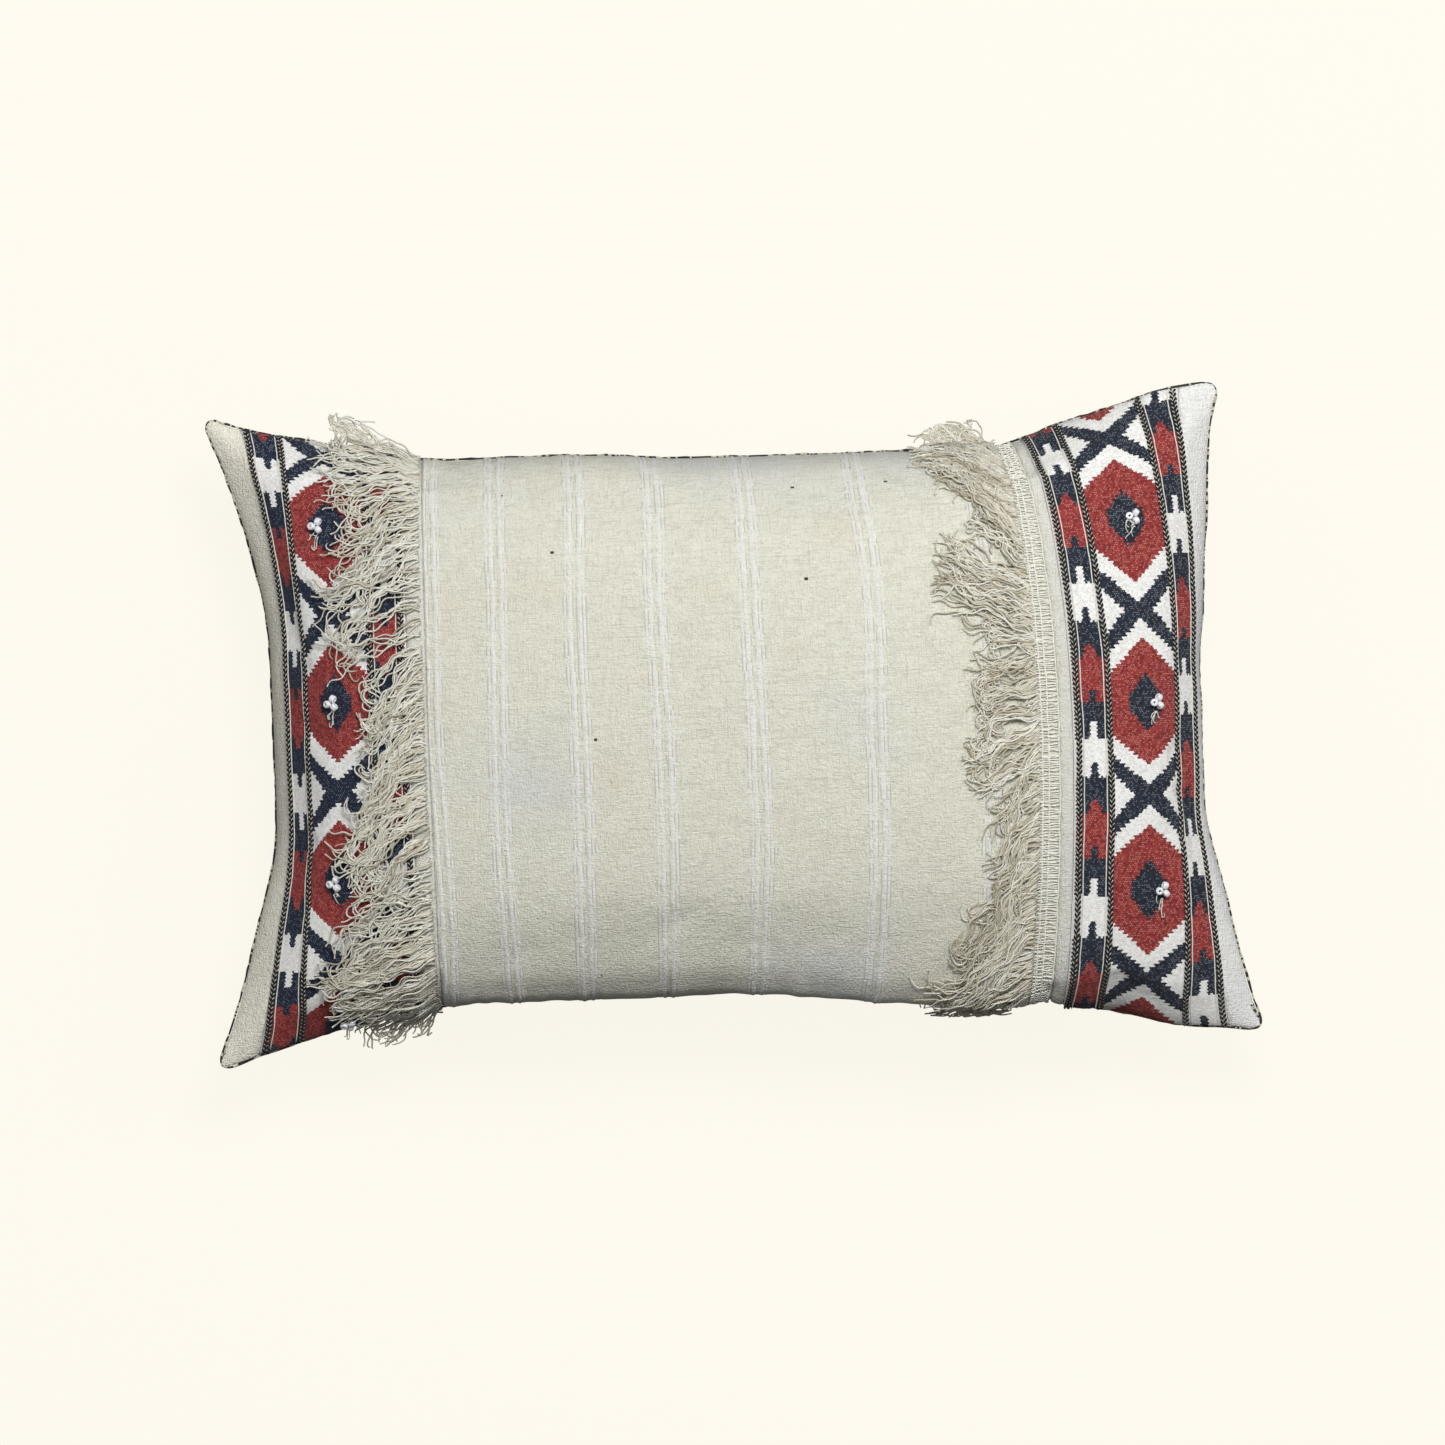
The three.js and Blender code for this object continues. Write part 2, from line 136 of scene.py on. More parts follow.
def settle(u, v):
    """How far the cover lies from symmetrical: a leaning top right corner, a bottom edge that
    sags next to the right corner, and a top edge that stands higher beside the middle."""
    leaning = smoothstep(u, 0.45, 0.68) * (1 - 0.45 * smoothstep(u, 0.9, 1))
    lifted = stretch(-u, *LEFT_LIFT_STRETCH) + stretch(u, *RIGHT_LIFT_STRETCH)
    sag = BOTTOM_SAG * stretch(u, *SAG_STRETCH) * smoothstep(-v, 0.3, 1)
    lift = TOP_LIFT * lifted * smoothstep(v, 0.3, 1)
    return -TOP_LEAN * leaning * np.clip(v, 0, None) ** 2, lift - sag


def fullness(u, v):
    """How far the cover swells past the plain shape: at its lower ends and the upper right one,
    and, on the front only, over the zip."""
    bulge = stretch(u, *BULGE_ALONG) * stretch(-v, *BULGE_ACROSS)
    ends = smoothstep(np.abs(u), 0.8, 1) * smoothstep(-v, 0.25, 0.6)
    upper = smoothstep(u, 0.8, 1) * stretch(v, *UPPER_END_STRETCH)
    return np.sign(u) * END_REACH * (ends + 0.9 * upper), -BOTTOM_BULGE * bulge


def blunt(u, v):
    """Cloth fractions with the corners of the rectangle rounded off."""
    p = np.clip(1 - HALF_LENGTH * (1 - np.abs(u)) / CORNER_ROUND, 0, 1)
    q = np.clip(1 - HALF_HEIGHT * (1 - np.abs(v)) / CORNER_ROUND, 0, 1)
    loss_u = p * (1 - np.sqrt(1 - q * q / 2)) * CORNER_ROUND / HALF_LENGTH
    loss_v = q * (1 - np.sqrt(1 - p * p / 2)) * CORNER_ROUND / HALF_HEIGHT
    return u - np.sign(u) * loss_u, v - np.sign(v) * loss_v


def plan(u, v):
    """Where the cloth lies in plan: drawn in at the edges, and shifted along in the middle."""
    power = np.where(u < 0, *END_POWER)
    end_pull = END_PULL * middle_of_edge(v, END_STRAIGHT) * np.abs(u) ** power
    side_pull = SIDE_PULL * middle_of_edge(u, SIDE_STRAIGHT) * np.abs(v) ** SIDE_POWER
    drift = (MIDDLE_SHIFT + STRIP_SPREAD * np.sin(np.pi * u)) * (1 - v * v)
    settled_x, settled_y = settle(u, v)
    x = u * HALF_LENGTH - np.sign(u) * end_pull + drift + settled_x
    return x, v * HALF_HEIGHT - np.sign(v) * side_pull + settled_y


def at_corner(u, v):
    """1 at the four corners, falling to 0 a little way along the edges."""
    return smoothstep(np.abs(u), 0.9, 1) * smoothstep(np.abs(v), 0.85, 1)


def along_zip(u):
    """1 along the straight stretch of the seam that the zip is in, and 0 beyond its ends."""
    return 1 - smoothstep(np.abs(u), *SLOT_ENDS)


def zip_slot(u, v):
    return SLOT_HALF * along_zip(u) * smoothstep(-v, *SLOT_DEEP)


def analytic(u, v, side):
    """Points of the plain cover, before the simulation's swells and puckers."""
    x, y = plan(*blunt(u, v))
    full_x, full_y = fullness(u, v)
    x = x + full_x
    if side == FRONT:
        y = y + full_y
    lift = SEAM_GAP / 2 + zip_slot(u, v) + CROWN[side] * crown(u, v)
    return np.stack([x, y, SEAM_Z + side * lift], -1)


def sampled(grid, u, v):
    """A grid's value at the fractions (u, v), smoothly between its points."""
    rows, cols = grid.shape[:2]
    found = np.zeros(np.broadcast(u, v).shape + grid.shape[2:])
    a = np.clip((u + 1) / 2 * (rows - 1), 0, rows - 1)
    b = np.clip((v + 1) / 2 * (cols - 1), 0, cols - 1)
    i, j = np.floor(a).astype(int), np.floor(b).astype(int)

    def weights(s):
        return (
            s * (-0.5 + s * (1 - 0.5 * s)),
            1 + s * s * (1.5 * s - 2.5),
            s * (0.5 + s * (2 - 1.5 * s)),
            s * s * (0.5 * s - 0.5),
        )

    for di, wi in enumerate(weights(a - i)):
        row = np.clip(i + di - 1, 0, rows - 1)
        for dj, wj in enumerate(weights(b - j)):
            col = np.clip(j + dj - 1, 0, cols - 1)
            found += (wi * wj)[..., None] * grid[row, col]
    return found


def patchy(x, y, scale, seed):
    """Smooth random heights from about -1 to 1 over the cloth, changing every scale mm."""
    shape = (int(600 / scale) + 2, int(400 / scale) + 2, 1)
    lattice = np.random.default_rng(seed).uniform(-1, 1, shape)
    return sampled(lattice, x / 300, y / 200)[..., 0]


# ---- cloth simulation -----------------------------------------------------------------------

SIM_ROWS, SIM_COLS = 113, 73
SIM_FRAMES = 20
SIM_START = 0.95  # share of its full height that the cover starts from
SIM_CLOTH = {
    "quality": 6, "mass": 0.02, "air_damping": 2,
    "tension_stiffness": 40, "compression_stiffness": 20, "shear_stiffness": 10,
    "tension_damping": 8, "compression_damping": 8, "shear_damping": 8,
    "bending_stiffness": 0.3, "use_pressure": True, "uniform_pressure_force": 1.2,
}
SWELL_CAP = 4.5
EDGE_POWER = 12
SWELL = {side: np.zeros((SIM_ROWS, SIM_COLS, 3)) for side in (FRONT, BACK)}


def cloth_object(start, cut, faces):
    """A cloth that starts at one set of points, and was cut to another."""
    cloth = linked("stuffing", make_mesh("stuffing", start, faces))
    cloth.shape_key_add(name="start")
    flat = cloth.shape_key_add(name="cut")
    flat.data.foreach_set("co", (cut * MM).astype(np.float32).ravel())
    modifier = cloth.modifiers.new("cloth", "CLOTH")
    for setting, value in SIM_CLOTH.items():
        setattr(modifier.settings, setting, value)
    modifier.settings.effector_weights.gravity = 0
    modifier.settings.rest_shape_key = flat
    modifier.collision_settings.use_collision = False
    modifier.point_cache.frame_end = SIM_FRAMES
    return cloth


def stuffed_points(cloth):
    """Runs the simulation, gives where each point of the cloth ends, and removes the cloth."""
    scene = bpy.context.scene
    for step in range(1, SIM_FRAMES + 1):
        scene.frame_set(step)
    stuffed = cloth.evaluated_get(bpy.context.evaluated_depsgraph_get()).data
    points = np.empty(len(stuffed.vertices) * 3, np.float32)
    stuffed.vertices.foreach_get("co", points)
    scene.frame_set(1)
    mesh = cloth.data
    bpy.data.objects.remove(cloth)
    bpy.data.meshes.remove(mesh)
    return points.reshape(-1, 3) / MM


def simulated_cover(u, v):
    """Stuffs the flat cover by pressure, and gives how far each grid point of it moved."""
    inner = np.zeros(u.shape, bool)
    inner[1:-1, 1:-1] = True
    shapes = {side: analytic(u, v, side) for side in (FRONT, BACK)}
    shapes[FRONT][~inner, 2] = SEAM_Z
    flat = np.stack([u * HALF_LENGTH, v * HALF_HEIGHT, np.full(u.shape, SEAM_Z)], -1)
    slack = {side: shape.copy() for side, shape in shapes.items()}
    for points in slack.values():
        points[..., 2] = SEAM_Z + SIM_START * (points[..., 2] - SEAM_Z)
    front_at = np.arange(u.size).reshape(u.shape)
    back_at = front_at.copy()
    back_at[inner] = u.size + np.arange(inner.sum())
    moved = stuffed_points(cloth_object(
        np.concatenate([slack[FRONT].reshape(-1, 3), slack[BACK][inner]]),
        np.concatenate([flat.reshape(-1, 3), flat[inner]]),
        [grid_faces(front_at), grid_faces(back_at)[:, ::-1]]))
    return {FRONT: moved[front_at] - shapes[FRONT], BACK: moved[back_at] - shapes[BACK]}


def swell_cover():
    """Keeps the simulation's swells and puckers, capped: less of them near the seam, and none
    along the zip or at the corners."""
    u, v = grid_of(np.linspace(-1, 1, SIM_ROWS), np.linspace(-1, 1, SIM_COLS))
    near_edge = np.maximum(np.abs(u) ** EDGE_POWER, np.abs(v) ** EDGE_POWER)
    zip_edge = along_zip(np.abs(u) - 0.04) * smoothstep(-v, 0.5, 0.8)
    keep = (1 - 0.7 * near_edge) * (1 - zip_edge) * (1 - at_corner(u, v))
    for side, moved in simulated_cover(u, v).items():
        size = np.linalg.norm(moved, axis=-1, keepdims=True) + 1e-9
        SWELL[side][:] = moved / size * SWELL_CAP * np.tanh(size / SWELL_CAP) * keep[..., None]


def surface(u, v, side=FRONT):
    """Points of the cover's outer face at the cloth fractions (u, v), each from -1 to 1; the
    back is pressed flat where it rests on the floor."""
    points = analytic(u, v, side) + sampled(SWELL[side], u, v)
    if side == BACK:
        z = points[..., 2]
        points[..., 2] = (z + np.hypot(z, FLOOR_SOFTNESS)) / 2 - FLOOR_SINK
    return points


def normal(u, v, side=FRONT):
    step = 2e-3
    along = surface(np.minimum(u + step, 1), v, side) - surface(np.maximum(u - step, -1), v, side)
    across = surface(u, np.minimum(v + step, 1), side) - surface(u, np.maximum(v - step, -1), side)
    return unit(np.cross(along, across) * side)


def on_cover(x, y, rise, side=FRONT):
    """Points that stand rise above the cover, at cloth coordinates in millimetres."""
    x, y, rise = np.broadcast_arrays(x, y, rise)
    u, v = np.clip(x / HALF_LENGTH, -1, 1), np.clip(y / HALF_HEIGHT, -1, 1)
    points = surface(u, v, side) + normal(u, v, side) * rise[..., None]
    points[..., 0] += x - u * HALF_LENGTH
    points[..., 1] += y - v * HALF_HEIGHT
    return points


# ---- meshes ---------------------------------------------------------------------------------

def grid_of(rows, cols):
    return np.meshgrid(rows, cols, indexing="ij")


def unit(vectors):
    return vectors / (np.linalg.norm(vectors, axis=-1, keepdims=True) + 1e-12)


def linked(name, data):
    """A new object in the scene."""
    made = bpy.data.objects.new(name, data)
    bpy.context.scene.collection.objects.link(made)
    return made


def grid_faces(at, closed=False):
    """Quads over a grid of vertex numbers; closed joins the last column to the first."""
    if closed:
        at = np.concatenate([at, at[:, :1]], axis=1)
    quads = np.stack([at[:-1, :-1], at[1:, :-1], at[1:, 1:], at[:-1, 1:]], -1)
    return quads.reshape(-1, 4)


def make_mesh(name, points, faces, tones=None):
    mesh = bpy.data.meshes.new(name)
    mesh.vertices.add(len(points))
    mesh.vertices.foreach_set("co", (np.asarray(points) * MM).astype(np.float32).ravel())
    corners = np.concatenate([f.ravel() for f in faces])
    sizes = np.concatenate([np.full(len(f), f.shape[1]) for f in faces])
    mesh.loops.add(len(corners))
    mesh.loops.foreach_set("vertex_index", corners.astype(np.int32))
    mesh.polygons.add(len(sizes))
    starts = np.concatenate([[0], np.cumsum(sizes)[:-1]])
    mesh.polygons.foreach_set("loop_start", starts.astype(np.int32))
    if tones is not None:
        mesh.polygons.foreach_set("material_index", np.asarray(tones).astype(np.int32))
    mesh.update(calc_edges=True)
    mesh.polygons.foreach_set("use_smooth", np.ones(len(sizes), bool))
    return mesh


def enrol(piece, body, nodes):
    """Tells the frame what a visible piece rides on, and the CAD nodes it replaces."""
    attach(piece, body)
    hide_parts(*nodes)
    return piece


def make_piece(name, shape, finishes, stands_for, tones=None):
    """One visible piece of the pillow, made from (points in mm, faces), that stands for CAD
    nodes; tones says which of the finishes each face has."""
    points, faces = shape
    mesh = make_mesh(name, points, faces, tones)
    for finish in finishes:
        mesh.materials.append(finish)
    piece = linked(name, mesh)
    return enrol(piece, "pillow", stands_for)


def joined(shapes):
    """Several (points, faces) shapes as one."""
    points, faces, start = [], [], 0
    for some_points, some_faces in shapes:
        points.append(some_points)
        faces += [f + start for f in some_faces]
        start += len(some_points)
    return np.concatenate(points), faces


def tubes(paths, radius, sides=5, up=(0, 0, 1)):
    """Round yarns with closed ends along paths, an array (yarns, steps, 3)."""
    paths = np.asarray(paths, float)
    yarns, steps = paths.shape[:2]
    radius = np.broadcast_to(radius, (yarns, steps))
    tangent = unit(np.gradient(paths, axis=1))
    across = unit(np.cross(tangent, np.asarray(up, float)))
    over = np.cross(across, tangent)
    turn = np.arange(sides) * 2 * np.pi / sides
    ring = across[:, :, None] * np.cos(turn)[:, None] + over[:, :, None] * np.sin(turn)[:, None]
    points = paths[:, :, None] + ring * radius[:, :, None, None]
    at = np.arange(yarns * steps * sides).reshape(yarns, steps, sides)
    faces = np.concatenate([grid_faces(at[k], closed=True) for k in range(yarns)])
    caps = np.concatenate([at[:, 0, ::-1], at[:, -1]])
    return points.reshape(-1, 3), [faces[:, ::-1], caps[:, ::-1]]


# ---- finishes -------------------------------------------------------------------------------

def linear(r, g, b):
    """A linear colour from the red, green and blue that a screen shows, each 0 to 255."""
    def one(level):
        s = level / 255
        return s / 12.92 if s <= 0.04045 else ((s + 0.055) / 1.055) ** 2.4
    return one(r), one(g), one(b), 1


# Inputs of a Mix node that mixes colours: its factor, and the colours under and over.
MIX_INPUTS = (0, 6, 7)


class Finish:
    """A material with its nodes, built one layer after another."""

    def __init__(self, name, colour, roughness=0.85, metallic=0.0, sheen=0.0):
        self.material = bpy.data.materials.new(name)
        self.material.use_nodes = True
        self.nodes = self.material.node_tree.nodes
        self.links = self.material.node_tree.links
        self.shader = self.nodes["Principled BSDF"]
        self.colour = linear(*colour)
        self.normal = None
        self.feed(self.shader, Base_Color=self.colour, Roughness=roughness, Metallic=metallic,
                  Sheen_Weight=sheen)
        self.place = self.nodes.new("ShaderNodeTexCoord").outputs["Object"]

    def put(self, socket, value):
        """Gives an input a number, a colour, or another node's output."""
        if isinstance(value, bpy.types.NodeSocket):
            self.links.new(value, socket)
        else:
            socket.default_value = value

    def feed(self, node, **inputs):
        for name, value in inputs.items():
            self.put(node.inputs[name.replace("_", " ")], value)

    def node(self, kind, **inputs):
        made = self.nodes.new(kind)
        self.feed(made, **inputs)
        return made

    def noise(self, scale, detail=3, stretch=(1, 1, 1)):
        """Noise of about one cycle each 1/scale metres, stretched along the axes."""
        mapping = self.node("ShaderNodeMapping", Vector=self.place, Scale=stretch)
        texture = self.node("ShaderNodeTexNoise", Vector=mapping.outputs["Vector"], Scale=scale,
                            Detail=detail)
        return texture.outputs["Fac"]

    def tint(self, amount, colour, low, high):
        """Mixes another colour in where amount rises from low to high."""
        ramp = self.node("ShaderNodeMapRange", Value=amount, From_Min=low, From_Max=high)
        ramp.interpolation_type = "SMOOTHSTEP"
        mix = self.nodes.new("ShaderNodeMix")
        mix.data_type = "RGBA"
        parts = (ramp.outputs["Result"], self.colour, linear(*colour))
        for index, part in zip(MIX_INPUTS, parts):
            self.put(mix.inputs[index], part)
        self.colour = mix.outputs[2]
        self.feed(self.shader, Base_Color=self.colour)

    def bump(self, height, distance):
        """Raises the surface with height, by up to distance in millimetres."""
        bump = self.node("ShaderNodeBump", Height=height, Distance=distance * MM)
        if self.normal is not None:
            self.feed(bump, Normal=self.normal)
        self.normal = bump.outputs["Normal"]
        self.feed(self.shader, Normal=self.normal)

    def rough(self, amount, low, high):
        spread = self.node("ShaderNodeMapRange", Value=amount, To_Min=low, To_Max=high)
        self.feed(self.shader, Roughness=spread.outputs["Result"])


COTTON_SHEEN = 0.1
COOL_PATCH = (214, 219, 223)


def plain_cloth(name, colour, shade, stain):
    """Hand-woven plain cloth: uneven threads both ways, slubs, and faint broad patches."""
    f = Finish(name, colour, 0.88, sheen=COTTON_SHEEN)
    f.tint(f.noise(22, 3), stain, 0.5, 1.0)
    f.tint(f.noise(9, 2), COOL_PATCH, 0.5, 0.85)
    f.tint(f.noise(110, 3, (1, 14, 1)), shade, 0.42, 0.95)
    f.tint(f.noise(110, 3, (14, 1, 1)), shade, 0.44, 1.0)
    f.tint(f.noise(900, 2), shade, 0.46, 0.9)
    f.tint(f.noise(30, 2, (1, 30, 1)), shade, 0.58, 0.95)
    f.bump(f.noise(420, 2, (1, 3.5, 1)), 0.7)
    f.bump(f.noise(420, 2, (3.5, 1, 1)), 0.7)
    f.rough(f.noise(300), 0.78, 0.98)
    return f.material


def yarn_tone(name, colour):
    """One dyed tone of a yarn: a constant colour with a fine fibrous surface."""
    f = Finish(name, colour, 0.9, sheen=COTTON_SHEEN)
    f.bump(f.noise(1400, 2), 0.15)
    return f.material


def yarn_tones(name, *colours):
    return [yarn_tone(f"{name}_{index}", colour) for index, colour in enumerate(colours)]


CENTRE_CLOTH = plain_cloth("centre_cloth", (235, 234, 219), (193, 190, 173), (229, 216, 197))
MARGIN_CLOTH = plain_cloth("margin_cloth", (250, 250, 247), (214, 213, 207), (240, 237, 229))
LEFT_MARGIN_CLOTH = plain_cloth("left_margin_cloth", (250, 247, 233), (214, 208, 190),
                                (240, 234, 216))
JOINING_CLOTH = plain_cloth("joining_cloth", (230, 229, 219), (192, 190, 178), (222, 216, 204))
RIB_COTTON = plain_cloth("rib_cotton", (240, 240, 235), (214, 212, 202), (232, 230, 222))
# Painted shade: a darker cotton for the thin line beside each tall rib ridge, standing in for the
# shade the ridge would cast.
RIB_SHADE_TONE = yarn_tone("rib_painted_shade", (196, 193, 178))
SPECK = yarn_tone("seed_speck", (52, 46, 38))
FRINGE_COTTON = yarn_tone("fringe_cotton", (213, 208, 191))
WARM_COTTON = yarn_tone("fringe_cotton_warm", (188, 180, 158))
PALE_COTTON = yarn_tone("fringe_cotton_pale", (232, 230, 219))
HEADER_COTTON = yarn_tone("header_cotton", (236, 234, 224))
CORD_BLACK = yarn_tone("cord_black", (20, 21, 26))
CORD_CREAM = yarn_tone("cord_cream", (218, 213, 198))
REDS = yarn_tones("kilim_red", (143, 47, 45), (156, 58, 54), (118, 37, 39), (150, 66, 62))
NAVIES = yarn_tones("kilim_navy", (26, 34, 50), (38, 47, 62), (17, 23, 37), (33, 35, 42))
BLUES = yarn_tones("kilim_blue", (19, 31, 56), (29, 42, 66), (14, 22, 43), (30, 35, 47))
WHITES = yarn_tones("kilim_white", (238, 238, 235), (227, 226, 222), (244, 244, 243))
FLECKS = [yarn_tone("fleck_pink", (196, 122, 112)), yarn_tone("fleck_grey", (112, 118, 124)),
          yarn_tone("fleck_cream", (214, 209, 196))]
BLACK_WOOL = yarn_tones("back_black", (34, 33, 33), (52, 50, 48))
NATURAL = yarn_tones("back_natural", (190, 182, 162), (212, 205, 187))


# ---- plain strips of the front ---------------------------------------------------------------

# Lines of a hem: how far each is from the seam, and how far it is turned down.
HEM = ((0.0, 5.0), (0.0, 1.3), (0.5, 0.55), (1.1, 0.12))
HEM_WIDTH = 2
ZIP_HEM = 0.9
CORNER_HEM_LOSS = 0.93


def cloth_lines(start, end, pitch):
    """Cloth lines from start to end, and how far each is turned down towards a seam."""
    count = max(2, round((end - start - 2 * HEM_WIDTH) / pitch))
    head = [(start + away, down) for away, down in HEM]
    middle = [(at, 0.0) for at in np.linspace(start + HEM_WIDTH, end - HEM_WIDTH, count + 1)]
    tail = [(end - away, down) for away, down in reversed(HEM)]
    return np.array(head + middle + tail).T


def turned_down(x, y, down_x, down_y):
    """How far the cloth dips at its seams; by the zip it isn't turned in under the tape, and at
    the thin corners it is hardly turned in at all."""
    zip_edge = along_zip(x / HALF_LENGTH) * (y < -HALF_HEIGHT + 1e-6)
    down = np.maximum(down_x, np.where(zip_edge > 0, np.minimum(down_y, ZIP_HEM), down_y))
    return down * (1 - CORNER_HEM_LOSS * at_corner(x / HALF_LENGTH, y / HALF_HEIGHT))


def cloth_patch(x_lines, y_lines, relief, side=FRONT):
    """A sheet of cloth over the cover, with its edges turned in at the seams."""
    (x, down_x), (y, down_y) = x_lines, y_lines
    gx, gy = grid_of(x, y)
    down = turned_down(gx, gy, down_x[:, None], down_y[None, :])
    points = on_cover(gx, gy, relief(gx, gy) - down, side)
    at = np.arange(gx.size).reshape(gx.shape)
    faces = grid_faces(at)
    return points.reshape(-1, 3), [faces if side == FRONT else faces[:, ::-1]]


def ripples(x, y):
    """Small puckers where the cloth is gathered at the seam, fading towards the middle."""
    edge = smoothstep(np.abs(y) / HALF_HEIGHT, 0.72, 0.97)
    pucker = 0.5 * patchy(x, y * 0.15, 9, 3) + 0.35 * patchy(x, y * 0.3, 5, 4)
    return pucker * edge + 0.15 * patchy(x, y, 14, 5)


# Ribs by their middle lines, and the ridges on both sides of each: how far out, how wide to
# each side, and how tall.
RIBS = (-155.6, -121, -79.5, -38, 10, 71, 131)
RIB_RIDGES = ((2.5, 1.3, 1.0), (4.7, 0.7, 0.5))
RIB_RISE = 0.6
RIB_REACH = 7.6
PITCH_AT_RIBS = 0.62
# Tones of the centre panel's faces; the third is painted shade beside the rib ridges.
COTTON, RIDGE, SHADE_BESIDE_RIDGE, SEED = range(4)


def rib_profile(x, y):
    """Height of the slubby white ridges of each rib, from 0 to about 1, and a thin line of painted
    shade beside the tall ones.
    """
    ridge = np.zeros(np.broadcast(x, y).shape)
    shade_beside = np.zeros(ridge.shape, bool)
    for index, centre in enumerate(RIBS):
        sway = 1.4 * patchy(centre, y, 80, 20 + index)
        for side in (-1, 1):
            for place, half, tall in RIB_RIDGES:
                seed = 40 + index + 10 * side
                slub = tall * (0.8 + 0.4 * patchy(centre + place, y, 6, seed))
                wander = 0.35 * patchy(centre - place, y, 12, seed)
                away = np.abs(x - centre - sway - side * place - wander) / half
                ridge = np.maximum(ridge, slub * np.clip(1 - away ** 2, 0, None))
                # Painted shade: the thin strip just outside a tall ridge, where the ridge would
                # shade the cloth.
                shade_beside |= (away > 1.0) & (away < 1.0 + 0.5 / half) & (slub > 0.85 * tall)
    return ridge, shade_beside & (ridge < 0.1)


def centre_panel():
    """The wide cream panel, with finer columns of cells where the ribs run."""
    x, down = cloth_lines(LEFT_SEAM, HEADER[1], 1.9)
    plain = np.ones(len(x), bool)
    fine = []
    for centre in RIBS:
        plain &= (np.abs(x - centre) > RIB_REACH + 0.4) | (down > 0)
        columns = np.arange(centre - RIB_REACH, centre + RIB_REACH + 0.1, PITCH_AT_RIBS)
        fine.append(columns[(columns > LEFT_SEAM + 1.5) & (columns < HEADER[1] - 1.5)])
    fine = np.concatenate(fine)
    x = np.concatenate([x[plain], fine])
    down = np.concatenate([down[plain], np.zeros(len(fine))])
    order = np.lexsort((np.where(x < 0, -down, down), x))
    x, down = x[order], down[order]
    y_lines = cloth_lines(-HALF_HEIGHT, HALF_HEIGHT, 1.5)

    def relief(gx, gy):
        return ripples(gx, gy) + RIB_RISE * rib_profile(gx, gy)[0]

    shape = cloth_patch((x, down), y_lines, relief)
    y = y_lines[0]
    ridge, shade_beside = rib_profile(*grid_of((x[1:] + x[:-1]) / 2, (y[1:] + y[:-1]) / 2))
    # Faces just beside the tall ridges get the darker cotton as painted shade.
    tones = np.where(ridge > 0.2, RIDGE, np.where(shade_beside, SHADE_BESIDE_RIDGE, COTTON)).ravel()
    specks = np.random.default_rng(8).choice(len(tones), 9, replace=False)
    tones[specks] = SEED
    return make_piece("centre_cloth_panel", shape, [CENTRE_CLOTH, RIB_COTTON, RIB_SHADE_TONE, SPECK],
                      ["front_centre_panel"], tones)


def plain_strip(name, node, finish):
    """A margin or joining strip, from the one cloth line to the other that SPANS gives."""
    pitch = 2.2
    shape = cloth_patch(cloth_lines(*SPANS[name], pitch),
                        cloth_lines(-HALF_HEIGHT, HALF_HEIGHT, pitch), ripples)
    return make_piece(f"{name}_cloth", shape, [finish], [node])


# ---- kilim bands ---------------------------------------------------------------------------

RED, NAVY, WHITE, PLAIN = range(4)
CELL = (1.3, 1.05)
STEP = 2.6
FINGER_STEP = 2.2
FLECK_SHARE = 0.36
# How far from a crossing the white and the navy reach at the middle line, how fast they widen
# away from it, and the white wedge that cuts in from the sides.
WHITE_REACH, WHITE_SLOPE = 15.5, 0.82
NAVY_REACH, NAVY_SLOPE = 5.5, 0.78
WEDGE_FROM, WEDGE_SLOPE = 9.2, 1.05
# The heart: half its height at the middle line, how fast it narrows, and half its width.
HEART_TALL, HEART_SLOPE, HEART_HALF = 16, 1.15, 11
HEART_STEP = 2.4

# Finishes of a band, in the order of its palette: reds, navies, whites, then flecks. Each cell
# picks one of eight from its colour's row.
TONES = {
    RED: np.array([0, 0, 0, 1, 1, 2, 2, 3]),
    NAVY: np.array([4, 4, 4, 5, 5, 6, 6, 7]),
    WHITE: np.array([8, 8, 8, 9, 10, 10, 8, 9]),
    PLAIN: np.full(8, 9),
}
FLECK_TONES = {RED: 11, NAVY: 12, WHITE: 13}

# Blocks of a guard border in one repeat, and the finger that each pushes into the block before
# it: its half width at the root, half width at the tip, and length.
BLOCKS = ((WHITE, 0.245, (2.0, 2.0, 9.0)), (NAVY, 0.235, (2.6, 1.7, 7.5)),
          (RED, 0.285, (5.0, 1.6, 7.5)), (NAVY, 0.235, (2.2, 2.0, 6.0)))


def motif(d, h, seed):
    """Colour of the field d from its middle line and h from the nearest crossing."""
    shelf = np.round(d / STEP)
    sway = 0.5 * np.sin(shelf * 12.9898 + seed * 78.233)
    stair = shelf * STEP
    colour = np.full(d.shape, RED)
    colour[h < WHITE_REACH + WHITE_SLOPE * stair + sway] = WHITE
    colour[h < NAVY_REACH + NAVY_SLOPE * stair + sway] = NAVY
    colour[h < WEDGE_SLOPE * (stair - WEDGE_FROM)] = WHITE
    return colour


def heart(x, y):
    """Where the stepped navy diamond round the beads lies."""
    stair = np.round(np.abs(x) / HEART_STEP) * HEART_STEP
    return (np.abs(y) < HEART_TALL - HEART_SLOPE * stair) & (np.abs(x) < HEART_HALF)


